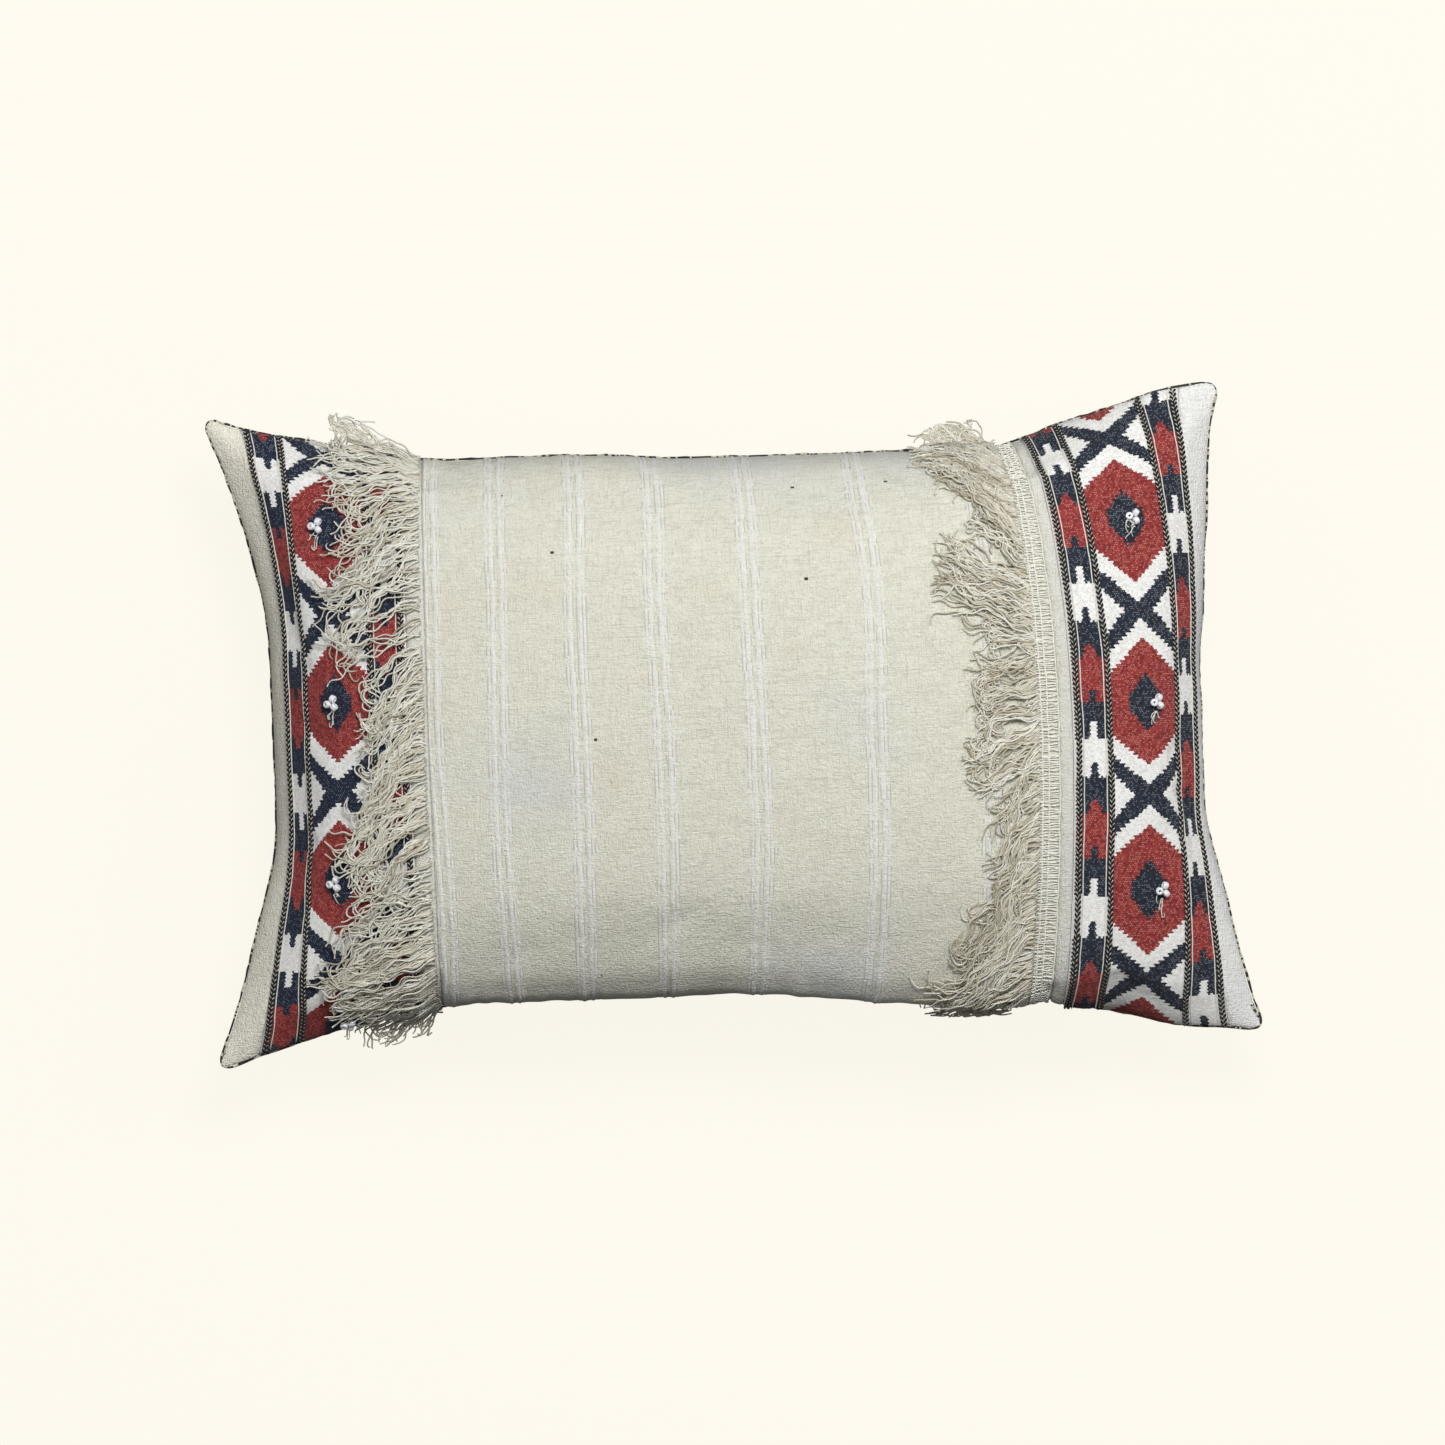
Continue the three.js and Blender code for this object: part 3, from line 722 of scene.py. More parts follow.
def guard(x, y, repeat, first, way):
    """Colour of a guard border: x from its middle, first the centre of a white block, and way
    the direction in which the fingers point."""
    run = -way * (y - first) + BLOCKS[0][1] * repeat / 2
    ragged = 0.7 * patchy(x, repeat, 3, 60) + 0.5 * np.sin(x * 1.9)
    run = np.mod(run + ragged * 0.6, repeat)
    colour = np.full(x.shape, WHITE)
    starts = np.cumsum([0] + [share * repeat for _, share, _ in BLOCKS])
    for start, end, (shade, _, _) in zip(starts, starts[1:], BLOCKS):
        colour[(run >= start) & (run < end)] = shade
    for start, (shade, _, (root, tip, length)) in zip(starts, BLOCKS):
        ahead = np.mod(start - run, repeat)
        half = root + (tip - root) * np.ceil(ahead / FINGER_STEP) * FINGER_STEP / length
        colour[(ahead < length) & (np.abs(x) < half)] = shade
    return colour


def band_colours(x, y, band, hearts, borders, way):
    """Colour of each cell of a band; borders gives each guard border's repeat and first block."""
    start, end = band
    middle = (start + end) / 2
    first, last = hearts[0][1] * HALF_HEIGHT, hearts[-1][1] * HALF_HEIGHT
    pitch = (first - last) / (len(hearts) - 1)
    phase = (y - first) / pitch
    nearest = np.round(phase - 0.5) + 0.5
    h = np.abs(phase - nearest) * pitch
    colour = motif(np.abs(x - middle), h, nearest)
    to_heart = (phase - np.round(phase)) * pitch
    colour[heart(x - middle, to_heart)] = NAVY
    for edge, inward, (repeat, first) in ((start, 1, borders[0]), (end, -1, borders[1])):
        inside = (x - edge) * inward < BORDER_WIDTH
        centre = edge + inward * (BORDER_WIDTH + CORD_INSET) / 2
        colour[inside] = guard(x - centre, y, repeat, first, way)[inside]
        outside = (x - edge) * inward < CORD_INSET - 1.5
        colour[outside] = PLAIN
    return colour


def band_lines(start, end, cell, hem):
    """Two lines for each cell from start to end, and how far the hem turns the last ones down."""
    cells = round((end - start) / cell)
    lines = np.linspace(start, end, 2 * cells + 1)
    down = np.zeros(len(lines))
    down[[0, -1]], down[[1, -2]] = hem
    return lines, down, cells


def band_tones(colour, pick, fleck):
    """Which finish of the palette each face has."""
    tones = np.zeros(colour.shape, int)
    for shade, choice in TONES.items():
        tones[colour == shade] = choice[pick % 8][colour == shade]
    for shade, tone in FLECK_TONES.items():
        tones[fleck & (colour == shade)] = tone
    return tones.ravel()


def kilim_band(name, node, band, hearts, borders, way, seed, navies):
    """A band woven cell by cell, with raised weft floats and flecks of the ground between."""
    x, down_x, cells_x = band_lines(*band, CELL[0], (1.6, 0.5))
    y, down_y, cells_y = band_lines(-HALF_HEIGHT, HALF_HEIGHT, CELL[1], (4.0, 1.0))
    rng = np.random.default_rng(seed)
    i, j = grid_of(np.arange(len(x)), np.arange(len(y)))
    high = (i + j // 2) % 2
    floats = 0.34 * high * (j % 2) + 0.12 * high * (1 - j % 2)
    loose = 0.1 * rng.standard_normal(i.shape)

    def relief(gx, gy):
        return 0.5 + floats + loose * 0.6 + ripples(gx, gy) * 0.7

    shape = cloth_patch((x, down_x), (y, down_y), relief)
    i, j = grid_of(np.arange(len(x) - 1), np.arange(len(y) - 1))
    row = j // 2
    column = (i + row % 2) // 2
    cell_x = band[0] + (column * 2 - row % 2 + 1) * (x[1] - x[0])
    cell_y = -HALF_HEIGHT + (row + 0.5) * (y[2] - y[0])
    colour = band_colours(cell_x, cell_y, band, hearts, borders, way)
    pick = rng.integers(0, 100, (cells_x + 2, cells_y + 1))[column, row]
    between = ((i + row) % 2 == 0) & (j % 2 == 0)
    fleck = between & (rng.random(colour.shape) < FLECK_SHARE)
    return make_piece(name, shape, REDS + navies + WHITES + FLECKS, [node],
                      band_tones(colour, pick, fleck))


TWINE_TURN = 2.7
TWINE_STEPS = 6
TWINE_RADII = (0.68, 0.26)
TWINE_COLUMN = 0.8
LINE_AWAY = 2.7


def twined_cord(name, node, x, light_side):
    """Two pairs of black and cream yarns, twined opposite ways, and a thin line beside them."""
    count = int(2 * HALF_HEIGHT / TWINE_TURN * TWINE_STEPS)
    y = np.linspace(-HALF_HEIGHT + 0.3, HALF_HEIGHT - 0.3, count)
    sway = 0.5 * patchy(x, y, 25, 70)
    sunk = 1.1 * smoothstep(np.abs(y), HALF_HEIGHT - 3.5, HALF_HEIGHT - 0.5)
    shapes, tones = [], []
    for hand in (1, -1):
        column = -TWINE_COLUMN * hand
        for strand, thick in enumerate(TWINE_RADII):
            angle = hand * 2 * np.pi * y / TWINE_TURN + strand * np.pi + column
            at_x = x + sway + column + 0.34 * np.cos(angle)
            rise = 1.05 + 0.42 * np.sin(angle) - sunk
            shapes.append(tubes(on_cover(at_x, y, rise)[None], thick))
            tones.append(strand)
    y, sway, sunk = y[::4], sway[::4], sunk[::4]
    line_x = x + sway + light_side * LINE_AWAY + 0.15 * patchy(x, y, 6, 71)
    shapes.append(tubes(on_cover(line_x, y, 0.95 - sunk)[None], 0.36))
    tones.append(2)
    faces = [sum(len(part) for part in shape[1]) for shape in shapes]
    return make_piece(name, joined(shapes), [CORD_BLACK, CORD_CREAM, PALE_COTTON],
                      [node], np.repeat(tones, faces))


# ---- fringes ---------------------------------------------------------------------------------

# How high the pull tab reaches when it lies over to the front, how clear of it the yarns stay,
# and how far below the cover's middle line they start to lift and are fully lifted.
TAB_TOP = 69
TAB_CLEARANCE = 1.2
LIFT_OVER_TAB = (130, 138)
# How far a yarn hangs past the edge of the cover at most.
HANG = 15


class Fringe:
    """Locks of loose yarn that leave a seam and lie over the cloth beside it."""

    SIDES = 4
    STRANDS = 5
    SLACK = 1.14
    # Each wave turns a yarn by so many radians, and runs through so many each 10 mm.
    CRIMP, CRIMP_PACE = 0.34, 6.2
    SWAY, SWAY_PACE = 0.38, 2.6
    CRIMP_RISE = 0.3
    CURL_FROM = 0.62

    def __init__(self, seed, root_x, steps=35, yarn=0.47):
        self.rng = np.random.default_rng(seed)
        self.root_x = root_x
        self.steps = steps
        self.yarn = yarn
        self.paths, self.radii = [], []

    def lock(self, root_y, tip, count, spread=7.0, curl=1.0, tall=1.0):
        """A lock of count yarns from the seam at root_y to its tip: crimped yarns that run
        together in a few strands, and part and curl at their ends."""
        rng = self.rng
        t = np.linspace(0, 1, self.steps)[None]
        reach = np.array(tip, float) - (self.root_x, root_y)
        length = np.hypot(*reach)
        strand = rng.integers(0, self.STRANDS, count)
        own = rng.standard_normal((count, 6, 1))
        shared = rng.standard_normal((self.STRANDS, 5, 1))[strand]
        turn = (rng.random((self.STRANDS, 4, 1)) * 2 * np.pi)[strand]
        across = spread * rng.uniform(-1, 1, (count, 1))

        run = length * t / 10
        pace = self.CRIMP_PACE + 0.5 * shared[:, 1] + 0.25 * own[:, 2]
        rising = np.clip(t / 0.25, 0.25, 1)
        heading = self.centre_line(reach, t) + 0.16 * shared[:, 0] * np.sin(np.pi * t)
        heading = heading + 0.05 * own[:, 0]
        heading += self.SWAY * np.sin(self.SWAY_PACE * run + turn[:, 0] + 0.25 * own[:, 1])
        heading += self.CRIMP * rising * np.sin(pace * run + turn[:, 1] + 0.6 * own[:, 3])
        bend = 1.5 * shared[:, 2] + 0.7 * own[:, 4]
        heading += curl * bend * np.clip((t - self.CURL_FROM) / (1 - self.CURL_FROM), 0, 1) ** 1.5

        long = np.clip(1 + 0.05 * shared[:, 3] + 0.08 * own[:, 5], 0.6, 1.08)
        stride = self.SLACK * length * long / (self.steps - 1)
        x = self.root_x + np.cumsum(np.cos(heading) * stride, 1) + rng.random((count, 1))
        y = root_y + across + np.cumsum(np.sin(heading) * stride, 1)
        gather = 0.8 * np.sin(0.5 * np.pi * np.clip(t / 0.55, 0, 1)) * (1 - 0.5 * t ** 3)
        y -= gather * (across - 3.2 * shared[:, 4])
        arch = np.clip(t / 0.3, 0, 1) ** 0.7 * (1 - 0.5 * t ** 2)
        layer = 0.3 + tall * (1.9 * rng.random((count, 1)) + 0.45 * strand[:, None])
        wave = self.CRIMP_RISE * np.sin(0.9 * pace * run + turn[:, 2]) * rising
        self.paths.append(np.stack([x, y, 0.55 + layer * arch + wave], -1))
        self.radii.append(self.yarn * (0.85 + 0.3 * rng.random((count, 1))) * (1 - 0.25 * t ** 8))

    def centre_line(self, reach, t):
        """Headings along a lock's middle, which leaves straight across the seam."""
        leave = np.array([-0.3, 0.06 * np.sign(reach[1])]) * np.hypot(*reach)
        end = 0.32 * reach
        legs = (1 - t) ** 2 * leave[:, None] + t ** 2 * end[:, None]
        legs += 2 * (1 - t) * t * (reach - leave - end)[:, None]
        return np.unwrap(np.arctan2(legs[1], legs[0]))[None]

    def shape(self, base, over_zip=False):
        """The yarns, standing base(x) above the cover; over_zip holds them above the pull tab."""
        x, y, rise = np.moveaxis(np.concatenate(self.paths), -1, 0)
        over = np.clip(np.abs(y) - HALF_HEIGHT, 0, None)
        y = y - np.sign(y) * (over - HANG * np.tanh(over / HANG))
        paths = on_cover(x, y, base(x) + rise)
        paths[..., 2] -= over * 0.5
        if over_zip:
            shortfall = np.clip(TAB_TOP + TAB_CLEARANCE + 0.5 * rise - paths[..., 2], 0, None)
            paths[..., 2] += smoothstep(-paths[..., 1], *LIFT_OVER_TAB) * shortfall
        return tubes(paths, np.concatenate(self.radii), self.SIDES)

    def tones(self, shares):
        """One of three cottons for each yarn, in the order of the faces: its quads, its caps."""
        yarns = sum(len(p) for p in self.paths)
        pick = self.rng.choice(3, yarns, p=shares)
        per_yarn = (self.steps - 1) * self.SIDES
        return np.concatenate([np.repeat(pick, per_yarn), pick, pick])


YARN_FINISHES = [FRINGE_COTTON, WARM_COTTON, PALE_COTTON]

# Each lock: where it leaves the seam, the cloth point its tip reaches, and how many yarns.
LEFT_LOCKS = (
    (172, (-196, 190), 12), (166, (-211, 184), 18), (160, (-215, 170), 20), (154, (-213, 151), 22),
    (147, (-207, 132), 15), (139, (-204, 116), 15), (130, (-202, 102), 16), (120, (-202, 88), 16),
    (109, (-203, 77), 14), (98, (-206, 68), 11), (86, (-212, 60), 11), (73, (-222, 52), 7),
    (60, (-214, 44), 7), (46, (-198, 24), 12), (34, (-194, 8), 16), (22, (-192, -8), 20),
    (10, (-193, -22), 17), (-3, (-196, -38), 20), (-16, (-201, -56), 21), (-29, (-206, -69), 21),
    (-42, (-207, -76), 24), (-56, (-200, -88), 17), (-70, (-192, -94), 12), (-84, (-204, -112), 18),
    (-97, (-214, -122), 23), (-110, (-219, -133), 26), (-123, (-220, -144), 27),
    (-136, (-216, -155), 27), (-148, (-211, -167), 24), (-159, (-202, -178), 20),
    (-168, (-192, -186), 16), (-174, (-177, -189), 9),
)
RIGHT_LOCKS = (
    (175, (134, 194), 9), (166, (123, 191), 17), (156, (118, 189), 26), (146, (116, 184), 29),
    (136, (116, 176), 30), (126, (116, 167), 30), (116, (118, 157), 29), (106, (121, 146), 26),
    (97, (126, 134), 23), (88, (130, 120), 17), (80, (136, 104), 10), (71, (112, 86), 20),
    (63, (108, 79), 24), (54, (110, 71), 24), (46, (119, 59), 16), (37, (127, 38), 20),
    (27, (122, 24), 28), (16, (120, 8), 29), (4, (121, -8), 28), (-8, (120, -24), 28),
    (-20, (120, -37), 26), (-31, (133, -57), 18), (-42, (136, -72), 18), (-53, (136, -86), 20),
    (-65, (133, -104), 25), (-79, (128, -125), 29), (-93, (122, -142), 31), (-107, (117, -157), 32),
    (-121, (113, -171), 32), (-135, (111, -184), 31), (-149, (112, -195), 29),
    (-161, (118, -200), 25), (-171, (126, -201), 15),
)


def left_fringe():
    f = Fringe(11, LEFT_SEAM - 0.5)
    for root_y, tip, count in LEFT_LOCKS:
        sparse = count < 13
        f.lock(root_y, tip, count, spread=6.0, curl=1.4 if sparse else 1.1)

    def base(x):
        return 0.6 + 1.3 * smoothstep(-x, -LEFT_BAND[1] - 4, -LEFT_BAND[1] + 3)

    return make_piece("left_fringe_yarns", f.shape(base), YARN_FINISHES,
                      ["left_fringe"], f.tones((0.38, 0.1, 0.52)))


def right_fringe():
    f = Fringe(12, HEADER[0])
    for root_y, tip, count in RIGHT_LOCKS:
        curly = abs(root_y - 30) < 60
        f.lock(root_y, tip, count, curl=1.8 if curly else 1.3)
    return make_piece("right_fringe_yarns", f.shape(lambda x: 0.2, over_zip=True),
                      YARN_FINISHES, ["right_fringe"],
                      f.tones((0.5, 0.24, 0.26)))


WEFTS, WEFT_STEPS = 300, 12


def fringe_header():
    """The short woven ladder that the right fringe hangs from: weft loops over warp lines."""
    rng = np.random.default_rng(13)
    y = np.linspace(-HALF_HEIGHT + 3, HALF_HEIGHT - 3, WEFTS)[:, None]
    t = np.linspace(0, 1, WEFT_STEPS)[None]
    x = HEADER[0] - 1 + (HEADER[1] - HEADER[0]) * t
    sign = np.where(np.arange(WEFTS) % 2 == 0, 1, -1)[:, None]
    rise = 0.9 + 0.38 * sign * np.cos(np.pi * 3 * t)
    way = y + 0.35 * rng.standard_normal((WEFTS, 1)) + 0.25 * np.sin(2 * np.pi * t + y)
    wefts = tubes(on_cover(x, way, rise), 0.4)
    along = np.linspace(-HALF_HEIGHT + 2, HALF_HEIGHT - 2, 500)[None]
    places = np.array([HEADER[0] + 0.8, HEADER[0] + 4.2, HEADER[1] - 0.8])[:, None]
    warp_x = places + 0.25 * patchy(places, along, 5, 80)
    warps = tubes(on_cover(warp_x, along, 1.0), 0.42)
    return make_piece("fringe_header_weave", joined([wefts, warps]), [HEADER_COTTON],
                      ["right_fringe_header"])


# ---- beads ---------------------------------------------------------------------------------

BEAD_RADIUS, BEAD_HOLE, BEAD_HALF = 2.1, 0.62, 1.55
BEAD_ROUND = 0.85
BEAD_RING = 2.55
BEAD_CLEARANCE = 0.85


def bead_shape():
    """A seed bead round +Z: a rounded ring of glass with a straight hole."""
    angle = np.linspace(0, np.pi / 2, 6)
    outer = np.stack([BEAD_RADIUS - BEAD_ROUND + BEAD_ROUND * np.sin(angle),
                      BEAD_HALF - BEAD_ROUND + BEAD_ROUND * np.cos(angle)], -1)
    hole = np.array([(BEAD_HOLE, BEAD_HALF - 0.2), (BEAD_HOLE + 0.15, BEAD_HALF - 0.02)])
    mirror = (1, -1)
    profile = np.concatenate([outer, outer[::-1] * mirror, hole[::-1] * mirror, hole])
    turn = np.linspace(0, 2 * np.pi, 28, endpoint=False)
    points = np.stack([
        profile[:, :1] * np.cos(turn), profile[:, :1] * np.sin(turn),
        np.repeat(profile[:, 1:], len(turn), 1)], -1)
    at = np.arange(points.shape[0] * points.shape[1]).reshape(points.shape[:2])
    at = np.concatenate([at, at[:1]])
    return points.reshape(-1, 3), [grid_faces(at, closed=True)[:, ::-1]]


def glass():
    f = Finish("bead_glass", (240, 241, 244), 0.12)
    f.feed(f.shader, Coat_Weight=0.6, Coat_Roughness=0.06, Subsurface_Weight=0.25,
           Subsurface_Radius=(0.002, 0.002, 0.002))
    f.tint(f.noise(350, 2), (226, 228, 232), 0.45, 0.8)
    return f.material


GLASS = glass()


def bead_cluster(side, hearts):
    """Three beads on each heart of a band: the first stands up, and the others lie round it."""
    points, faces = bead_shape()
    for index, (x, v) in enumerate(hearts):
        y = v * HALF_HEIGHT
        out = normal(np.array(x / HALF_LENGTH), np.array(v))
        right = unit(np.array([1.0, 0, 0]) - out * out[0])
        up = np.cross(out, right)
        centre = on_cover(x, y, BEAD_RADIUS + BEAD_CLEARANCE)
        for bead in range(3):
            angle = math.pi * (1 + 2 * bead / 3) + HEART_TURNS[index]
            outward = right * math.cos(angle) + up * math.sin(angle)
            hole = out * 0.9 + outward * 0.3 if bead == 0 else np.cross(out, outward)
            hole = unit(hole)
            beside = unit(np.cross(hole, outward + 0.1 * up))
            basis = np.stack([beside, np.cross(hole, beside), hole])
            place = centre + outward * BEAD_RING + out * (0.25 if bead == 0 else 0)
            node = f"{side}_bead_{index + 1}_{bead + 1}"
            make_piece(f"glass_{node}", (points @ basis + place, faces), [GLASS],
                       [node])
        bead_threads(side, index, x, y)


def bead_threads(side, index, x, y):
    """Loose ends of the pale sewing thread that curl out beside each cluster."""
    f = Fringe(200 + 10 * index + (side == "left"), x, steps=24, yarn=0.24)
    below = y - 4
    f.lock(below, (x - 5 + 2 * index, below - 6), 4, spread=2, curl=2.4, tall=0.2)
    make_piece(f"{side}_bead_threads_{index + 1}", f.shape(lambda x: 0.9), [PALE_COTTON],
               [])


# ---- back of the cover -------------------------------------------------------------------------

def back_panel():
    """Black-and-natural cloth, with a rolled edge that shows all round the seam."""
    pitch = 1.9
    x_lines = cloth_lines(-HALF_LENGTH, HALF_LENGTH, pitch)
    y_lines = cloth_lines(-HALF_HEIGHT, HALF_HEIGHT, pitch)
    (x, _), (y, _) = x_lines, y_lines
    i, j = grid_of(np.arange(len(x)), np.arange(len(y)))
    weave = 0.16 * ((i + j) % 2)

    def relief(gx, gy):
        return weave + ripples(gx, gy)

    panel = cloth_patch(x_lines, y_lines, relief, BACK)
    i, j = i[:-1, :-1], j[:-1, :-1]
    rng = np.random.default_rng(21)
    dark = ((i + j) % 2 == 0) | ((i // 2 + j) % 4 == 0)
    shade = rng.integers(0, 2, dark.shape)
    tones = np.where(dark, shade, 2 + shade).ravel()
    roll, roll_tones = seam_roll(rng)
    return make_piece("back_cloth_panel", joined([panel, roll]),
                      BLACK_WOOL + NATURAL, ["back_panel"],
                      np.concatenate([tones, roll_tones]))


ROLL_STEPS = 1900
ROLL_SIDES = 6
ROLL_RADIUS = 0.55
ROLL_LIGHT_SHARE = 0.26


def rim_route(count):
    """Cloth fractions (u, v) of evenly spread points all round the seam, from the zip's end."""
    sides = np.array([2 * HALF_LENGTH, 2 * HALF_HEIGHT] * 2)
    ends = np.concatenate([[0], np.cumsum(sides)])
    corners = np.array([[-1, -1], [1, -1], [1, 1], [-1, 1], [-1, -1]])
    run = np.linspace(0, ends[-1], count, endpoint=False)
    return np.interp(run, ends, corners[:, 0]), np.interp(run, ends, corners[:, 1])


def seam_roll(rng):
    """The narrow roll of back cloth that peeps over the seam; it stops at the zip."""
    u, v = rim_route(ROLL_STEPS)
    zip_part = (along_zip(np.abs(u) - 0.01) > 0) & (v < -0.999)
    first = int(np.argmax(~zip_part & np.roll(zip_part, 1)))
    u, v, zip_part = np.roll(u, -first), np.roll(v, -first), np.roll(zip_part, -first)
    u, v = u[~zip_part], v[~zip_part]
    seam = (surface(u, v, FRONT) + surface(u, v, BACK)) / 2
    seam[:, 2] = SEAM_Z
    tangent = unit(np.gradient(seam, axis=0))
    out = np.stack([tangent[:, 1], -tangent[:, 0], 0 * u], -1)
    wobble = 0
    for step in (4, 11):
        knots = np.arange(0, len(u) + step, step)
        wobble = wobble + np.interp(np.arange(len(u)), knots, rng.uniform(-1, 1, len(knots))) / 2
    path = seam + out * (0.1 + 0.3 * wobble)[:, None]
    path[:, 2] += 0.25 * np.roll(wobble, 7)
    shape = tubes(path[None], (ROLL_RADIUS + 0.25 * wobble)[None], ROLL_SIDES)
    light = rng.random(len(u) - 1) < ROLL_LIGHT_SHARE
    light |= np.roll(light, 1) & (rng.random(len(light)) < 0.5)
    tones = np.where(light, 2 + rng.integers(0, 2, len(light)), rng.integers(0, 2, len(light)))
    tones = np.concatenate([np.repeat(tones, ROLL_SIDES), [0, 0]])
    return shape, tones


# ---- insert ------------------------------------------------------------------------------------

CASING_DEPTHS = {FRONT: (3.0, 2.2), BACK: (2.2, 3.0)}
FILL_DEPTH = 3.4


def insert():
    """The casing's two sides and the fibre between them, all inside the cover."""
    lines = np.linspace(-1, 1, 61)
    for word, side in (("front", FRONT), ("back", BACK)):
        name = f"insert_{word}_casing"
        shape = closed_pair(*(insert_surface(lines, side, d) for d in CASING_DEPTHS[side]))
        finish = plain_cloth(f"{name}_cloth", (240, 238, 232), (222, 220, 213), (236, 233, 227))
        make_piece(name, shape, [finish], [f"insert_casing_{word}"])
    fibre = Finish("fibre", (246, 246, 243), 0.95)
    fibre.tint(fibre.noise(120, 4), (228, 228, 224), 0.4, 0.8)
    fibre.bump(fibre.noise(250, 4), 1.2)
    shape = closed_pair(*(insert_surface(lines, side, FILL_DEPTH) for side in (BACK, FRONT)))
    make_piece("polyester_fill", shape, [fibre.material], ["fibre_fill"])


def insert_surface(lines, side, depth):
    """A layer of the insert, depth inside the cover and a little smaller in plan."""
    u, v = grid_of(lines, lines)
    points = surface(u, v, side)
    points[..., 2] -= side * zip_slot(u, v)
    shrink = 1 - (3.5 + depth) / np.array([HALF_LENGTH, HALF_HEIGHT])
    points[..., :2] *= shrink
    points[..., 2] = SEAM_Z + (points[..., 2] - SEAM_Z) * (1 - depth / CROWN[side])
    return points


def closed_pair(low, high):
    """A closed slab between two grids of points."""
    rows, cols = low.shape[:2]
    at = np.arange(rows * cols).reshape(rows, cols)
    rim = np.concatenate([at[:, 0], at[-1, 1:], at[-2::-1, -1], at[0, -2:0:-1]])
    far = np.roll(rim, -1)
    size = rows * cols
    walls = np.stack([rim, far, far + size, rim + size], -1)
    points = np.concatenate([low.reshape(-1, 3), high.reshape(-1, 3)])
    return points, [grid_faces(at + size), grid_faces(at)[:, ::-1], walls]


# ---- zip ---------------------------------------------------------------------------------------

def zinc():
    f = Finish("zip_zinc", (176, 172, 164), 0.32, metallic=1.0)
    f.tint(f.noise(700, 3), (150, 146, 138), 0.4, 0.85)
    f.bump(f.noise(1800, 2), 0.04)
    f.rough(f.noise(400), 0.24, 0.42)
    return f.material


ZINC = zinc()
COIL_PITCH = 1.36
COIL_STEPS = 12
COIL_HEIGHT = 1.35
TAPE_WIDTH = 10
TAPE_STANDS_OFF = 3.1
TAPE_WEAVE = (0.98, 1.9)


def zip_coil(side, sign):
    """A flattened coil of nylon wire whose heads reach between those of the other row."""
    turns = int(2 * CHAIN_HALF / COIL_PITCH)
    t = np.arange(turns * COIL_STEPS) / COIL_STEPS
    angle = 2 * np.pi * t
    offset = 0 if sign > 0 else COIL_PITCH / 2
    x = -CHAIN_HALF + 0.6 + t * COIL_PITCH + offset * 0.9
    z = SEAM_Z + sign * COIL_HEIGHT * (1 + np.cos(angle))
    y = ZIP_Y + 0.85 * np.sin(angle)
    shape = tubes(np.stack([x, y, z], -1)[None], 0.3, 6, up=(1, 0, 0))
    f = Finish(f"zip_nylon_{side}", (222, 214, 194), 0.38)
    f.bump(f.noise(900, 1), 0.05)
    f.rough(f.noise(200), 0.3, 0.5)
    make_piece(f"nylon_coil_{side}", shape, [f.material], [f"zip_coil_{side}"])


def zip_tape(side, sign):
    """A woven tape with a ribbed face and a beaded edge behind the coil."""
    x = np.linspace(-CHAIN_HALF - 3.2, CHAIN_HALF + 3.2, 560)
    gx, gz = grid_of(x, np.linspace(0, TAPE_WIDTH, 22))
    rib = 0.05 * np.sin(gx * 2 * np.pi / TAPE_WEAVE[0]) * np.cos(gz * 2 * np.pi / TAPE_WEAVE[1])
    edge = 0.18 * np.exp(-((gz - 0.5) / 0.4) ** 2)
    z = SEAM_Z + sign * (TAPE_STANDS_OFF + gz)
    face = np.stack([gx, ZIP_Y - 0.3 - rib - edge * 0.4, z], -1)
    reverse = np.stack([gx, np.full(gx.shape, ZIP_Y + 0.3), z], -1)
    shape = closed_pair(reverse, face) if sign > 0 else closed_pair(face, reverse)
    f = Finish(f"zip_tape_{side}_cloth", (208, 200, 182), 0.85, sheen=0.1)
    f.tint(f.noise(500, 2), (186, 178, 160), 0.45, 0.85)
    f.bump(f.noise(900, 2, (3, 1, 1)), 0.12)
    make_piece(f"woven_tape_{side}", shape, [f.material], [f"zip_tape_{side}"])


def softened(node, name, body, width):
    """A copy of one of the zip's CAD nodes, in zinc, with its edges rounded off."""
    piece = linked(name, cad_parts[node].data.copy())
    piece.data.materials.clear()
    piece.data.materials.append(ZINC)
    weld = piece.modifiers.new("weld", "WELD")
    weld.merge_threshold = 0.01 * MM
    bevel = piece.modifiers.new("rounded_edges", "BEVEL")
    bevel.width = width * MM
    bevel.segments = 3
    bevel.limit_method = "ANGLE"
    bevel.angle_limit = math.radians(25)
    bevel.harden_normals = True
    for face in piece.data.polygons:
        face.use_smooth = True
    return enrol(piece, body, [node])


def zip_parts():
    for side, sign in (("front", 1), ("back", -1)):
        zip_coil(side, sign)
        zip_tape(side, sign)
        softened(f"zip_top_stop_{side}", f"top_stop_{side}", "pillow", 0.4)
    softened("zip_bottom_stop", "bottom_stop", "pillow", 0.4)
    softened("zip_slider", "slider_casting", "slider", 0.28)
    softened("zip_pull_tab", "pull_tab_stamping", "pull_tab", 0.3)


# ---- build -----------------------------------------------------------------------------------

swell_cover()

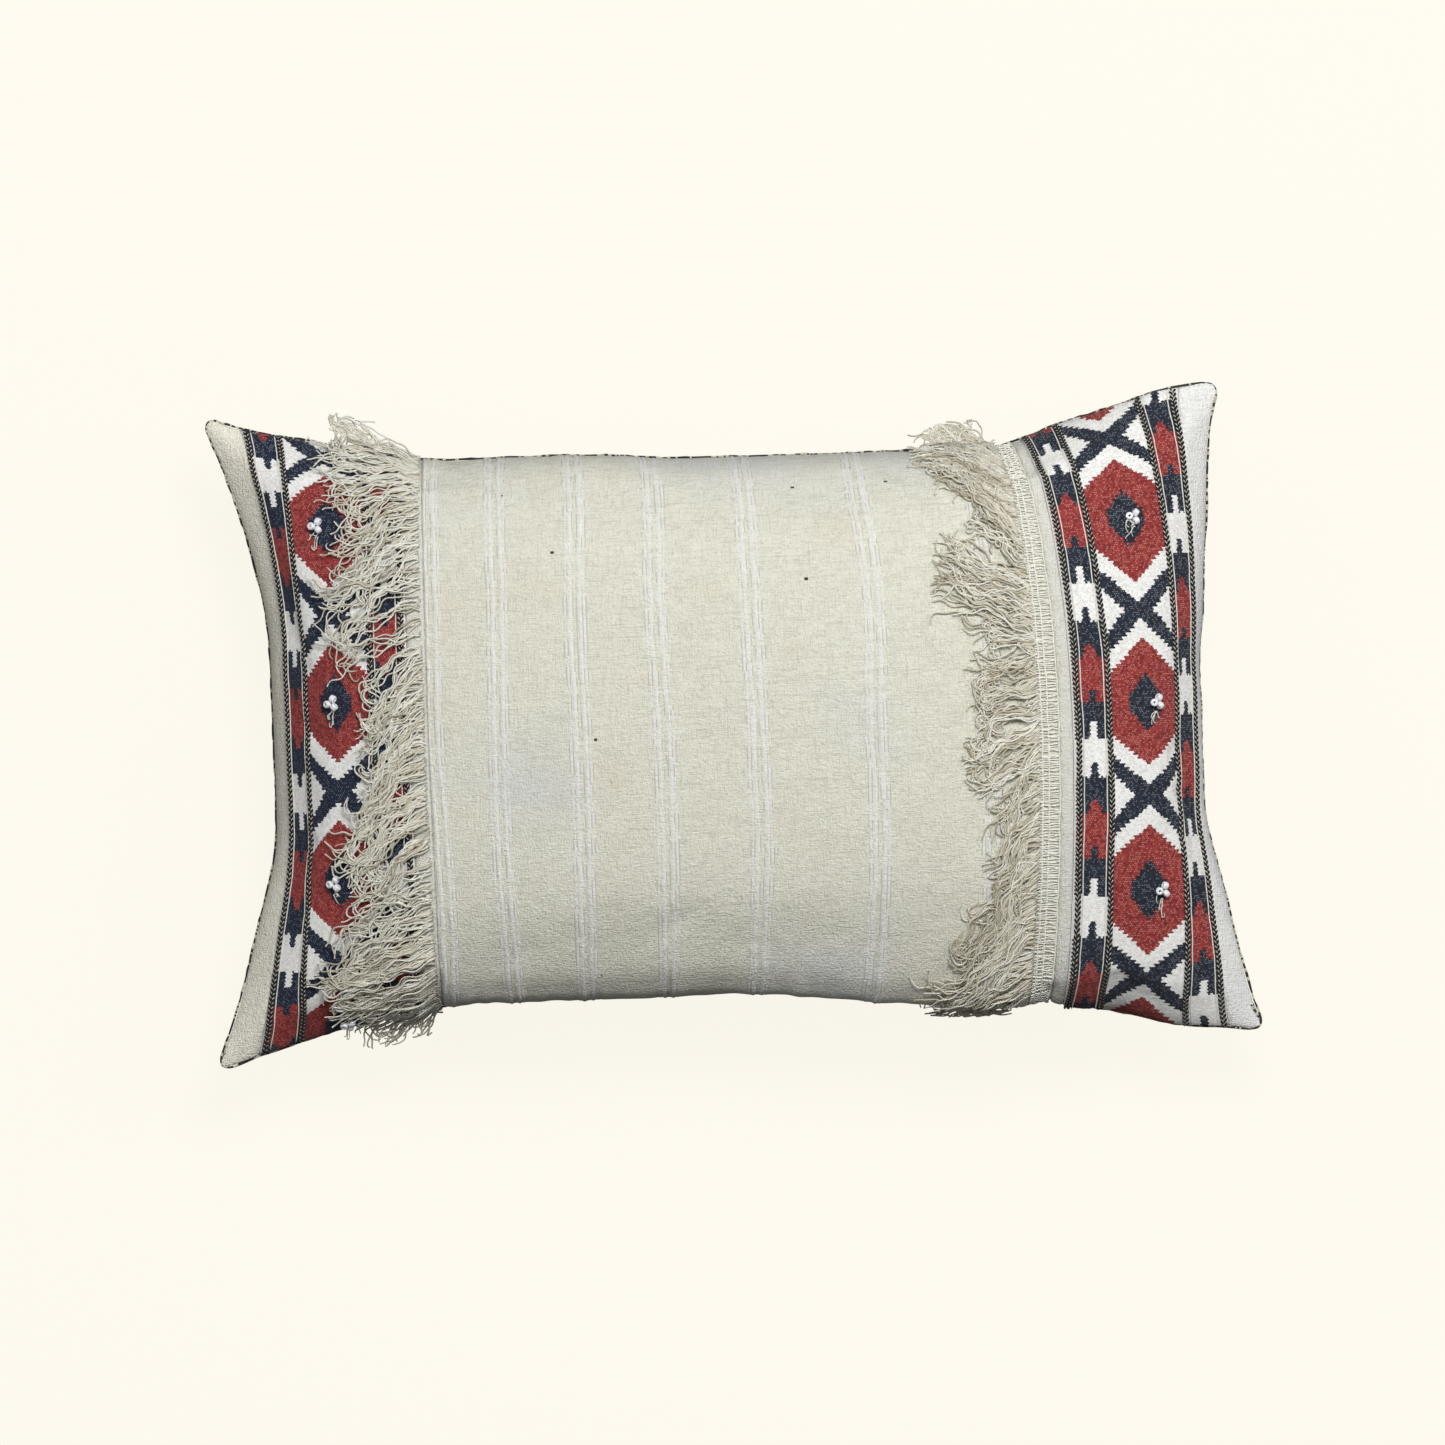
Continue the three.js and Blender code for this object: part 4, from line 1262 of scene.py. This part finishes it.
panels = {
    "left_margin": plain_strip("left_margin", "front_left_margin", LEFT_MARGIN_CLOTH),
    "left_joining": plain_strip("left_joining", "front_left_joining_strip", JOINING_CLOTH),
    "centre": centre_panel(),
    "right_joining": plain_strip("right_joining", "front_right_joining_strip", JOINING_CLOTH),
    "right_margin": plain_strip("right_margin", "front_right_margin", MARGIN_CLOTH),
    "left_band": kilim_band("left_kilim_band", "front_left_band", LEFT_BAND, LEFT_HEARTS,
                            ((88, -28), (88, 10)), -1, 31, BLUES),
    "right_band": kilim_band("right_kilim_band", "front_right_band", RIGHT_BAND, RIGHT_HEARTS,
                             ((84, -25), (87, 7)), 1, 32, NAVIES),
    "back": back_panel(),
}
for side, (start, end) in (("left", LEFT_BAND), ("right", RIGHT_BAND)):
    centres = (start + CORD_INSET, start + BORDER_WIDTH, end - BORDER_WIDTH, end - CORD_INSET)
    for index, x in enumerate(centres):
        twined_cord(f"{side}_twined_cord_{index + 1}", f"{side}_band_cord_{index + 1}", x,
                    1 if index in (0, 2) else -1)
left_fringe()
right_fringe()
fringe_header()
bead_cluster("left", LEFT_HEARTS)
bead_cluster("right", RIGHT_HEARTS)
insert()
zip_parts()


# ---- floor, light and camera -----------------------------------------------------------------

# The view is straight down, with the pillow turned a little in the frame.
VIEW_CENTRE = (-2.9, 1.4)
VIEW_WIDTH = 782.5
VIEW_TURN = -2.2
LENS = 500
SENSOR = 36
FLOOR_HALF = 3000
BACKDROP = (255, 251, 240)
BACKDROP_GLOW = 0.935
# Lamps by place and size in metres, and power in watts.
LAMPS = {
    "key": ((0.38, 1.0, 2.4), 0.8, 46),
    "left_fill": ((-1.6, 0.5, 1.3), 1.0, 7),
    "right_fill": ((1.6, 0.5, 1.3), 1.0, 10),
}
SKY = (1, 0.99, 0.97, 1)
SKY_STRENGTH = 0.13


def stage():
    """A floor that the camera sees as a plain pale glow, and that throws little light back."""
    corners = np.array([[-1, -1, 0], [1, -1, 0], [1, 1, 0], [-1, 1, 0]]) * FLOOR_HALF
    mesh = make_mesh("floor", corners, [np.array([[0, 1, 2, 3]])])
    floor = linked("floor", mesh)
    f = Finish("pale_floor", (62, 60, 57), 0.9)
    glow = f.node("ShaderNodeEmission", Color=linear(*BACKDROP), Strength=BACKDROP_GLOW)
    seen = f.nodes.new("ShaderNodeMixShader")
    both = f.nodes.new("ShaderNodeAddShader")
    ray = f.nodes.new("ShaderNodeLightPath")
    f.put(both.inputs[0], f.shader.outputs[0])
    f.put(both.inputs[1], glow.outputs[0])
    for index, part in enumerate((ray.outputs["Is Camera Ray"], f.shader.outputs[0],
                                  both.outputs[0])):
        f.put(seen.inputs[index], part)
    f.feed(f.nodes["Material Output"], Surface=seen.outputs[0])
    mesh.materials.append(f.material)


def area_light(name, place, size, power):
    light = bpy.data.lights.new(name, "AREA")
    light.shape = "SQUARE"
    light.size = size
    light.energy = power
    lamp = linked(name, light)
    lamp.location = place
    lamp.rotation_euler = (-Vector(place)).to_track_quat("-Z", "Y").to_euler()


def light_and_camera():
    scene = bpy.context.scene
    scene.world = bpy.data.worlds.new("studio")
    scene.world.use_nodes = True
    sky = scene.world.node_tree.nodes["Background"]
    sky.inputs["Color"].default_value = SKY
    sky.inputs["Strength"].default_value = SKY_STRENGTH
    for name, lamp in LAMPS.items():
        area_light(name, *lamp)
    scene.view_settings.view_transform = "Standard"
    camera = bpy.data.cameras.new("camera")
    camera.lens = LENS
    camera.sensor_width = SENSOR
    camera.clip_start, camera.clip_end = 1, 30
    eye = linked("camera", camera)
    distance = VIEW_WIDTH * LENS / SENSOR
    eye.location = (VIEW_CENTRE[0] * MM, VIEW_CENTRE[1] * MM, (SEAM_Z + distance) * MM)
    eye.rotation_euler = (0, 0, math.radians(VIEW_TURN))
    scene.camera = eye


stage()
light_and_camera()
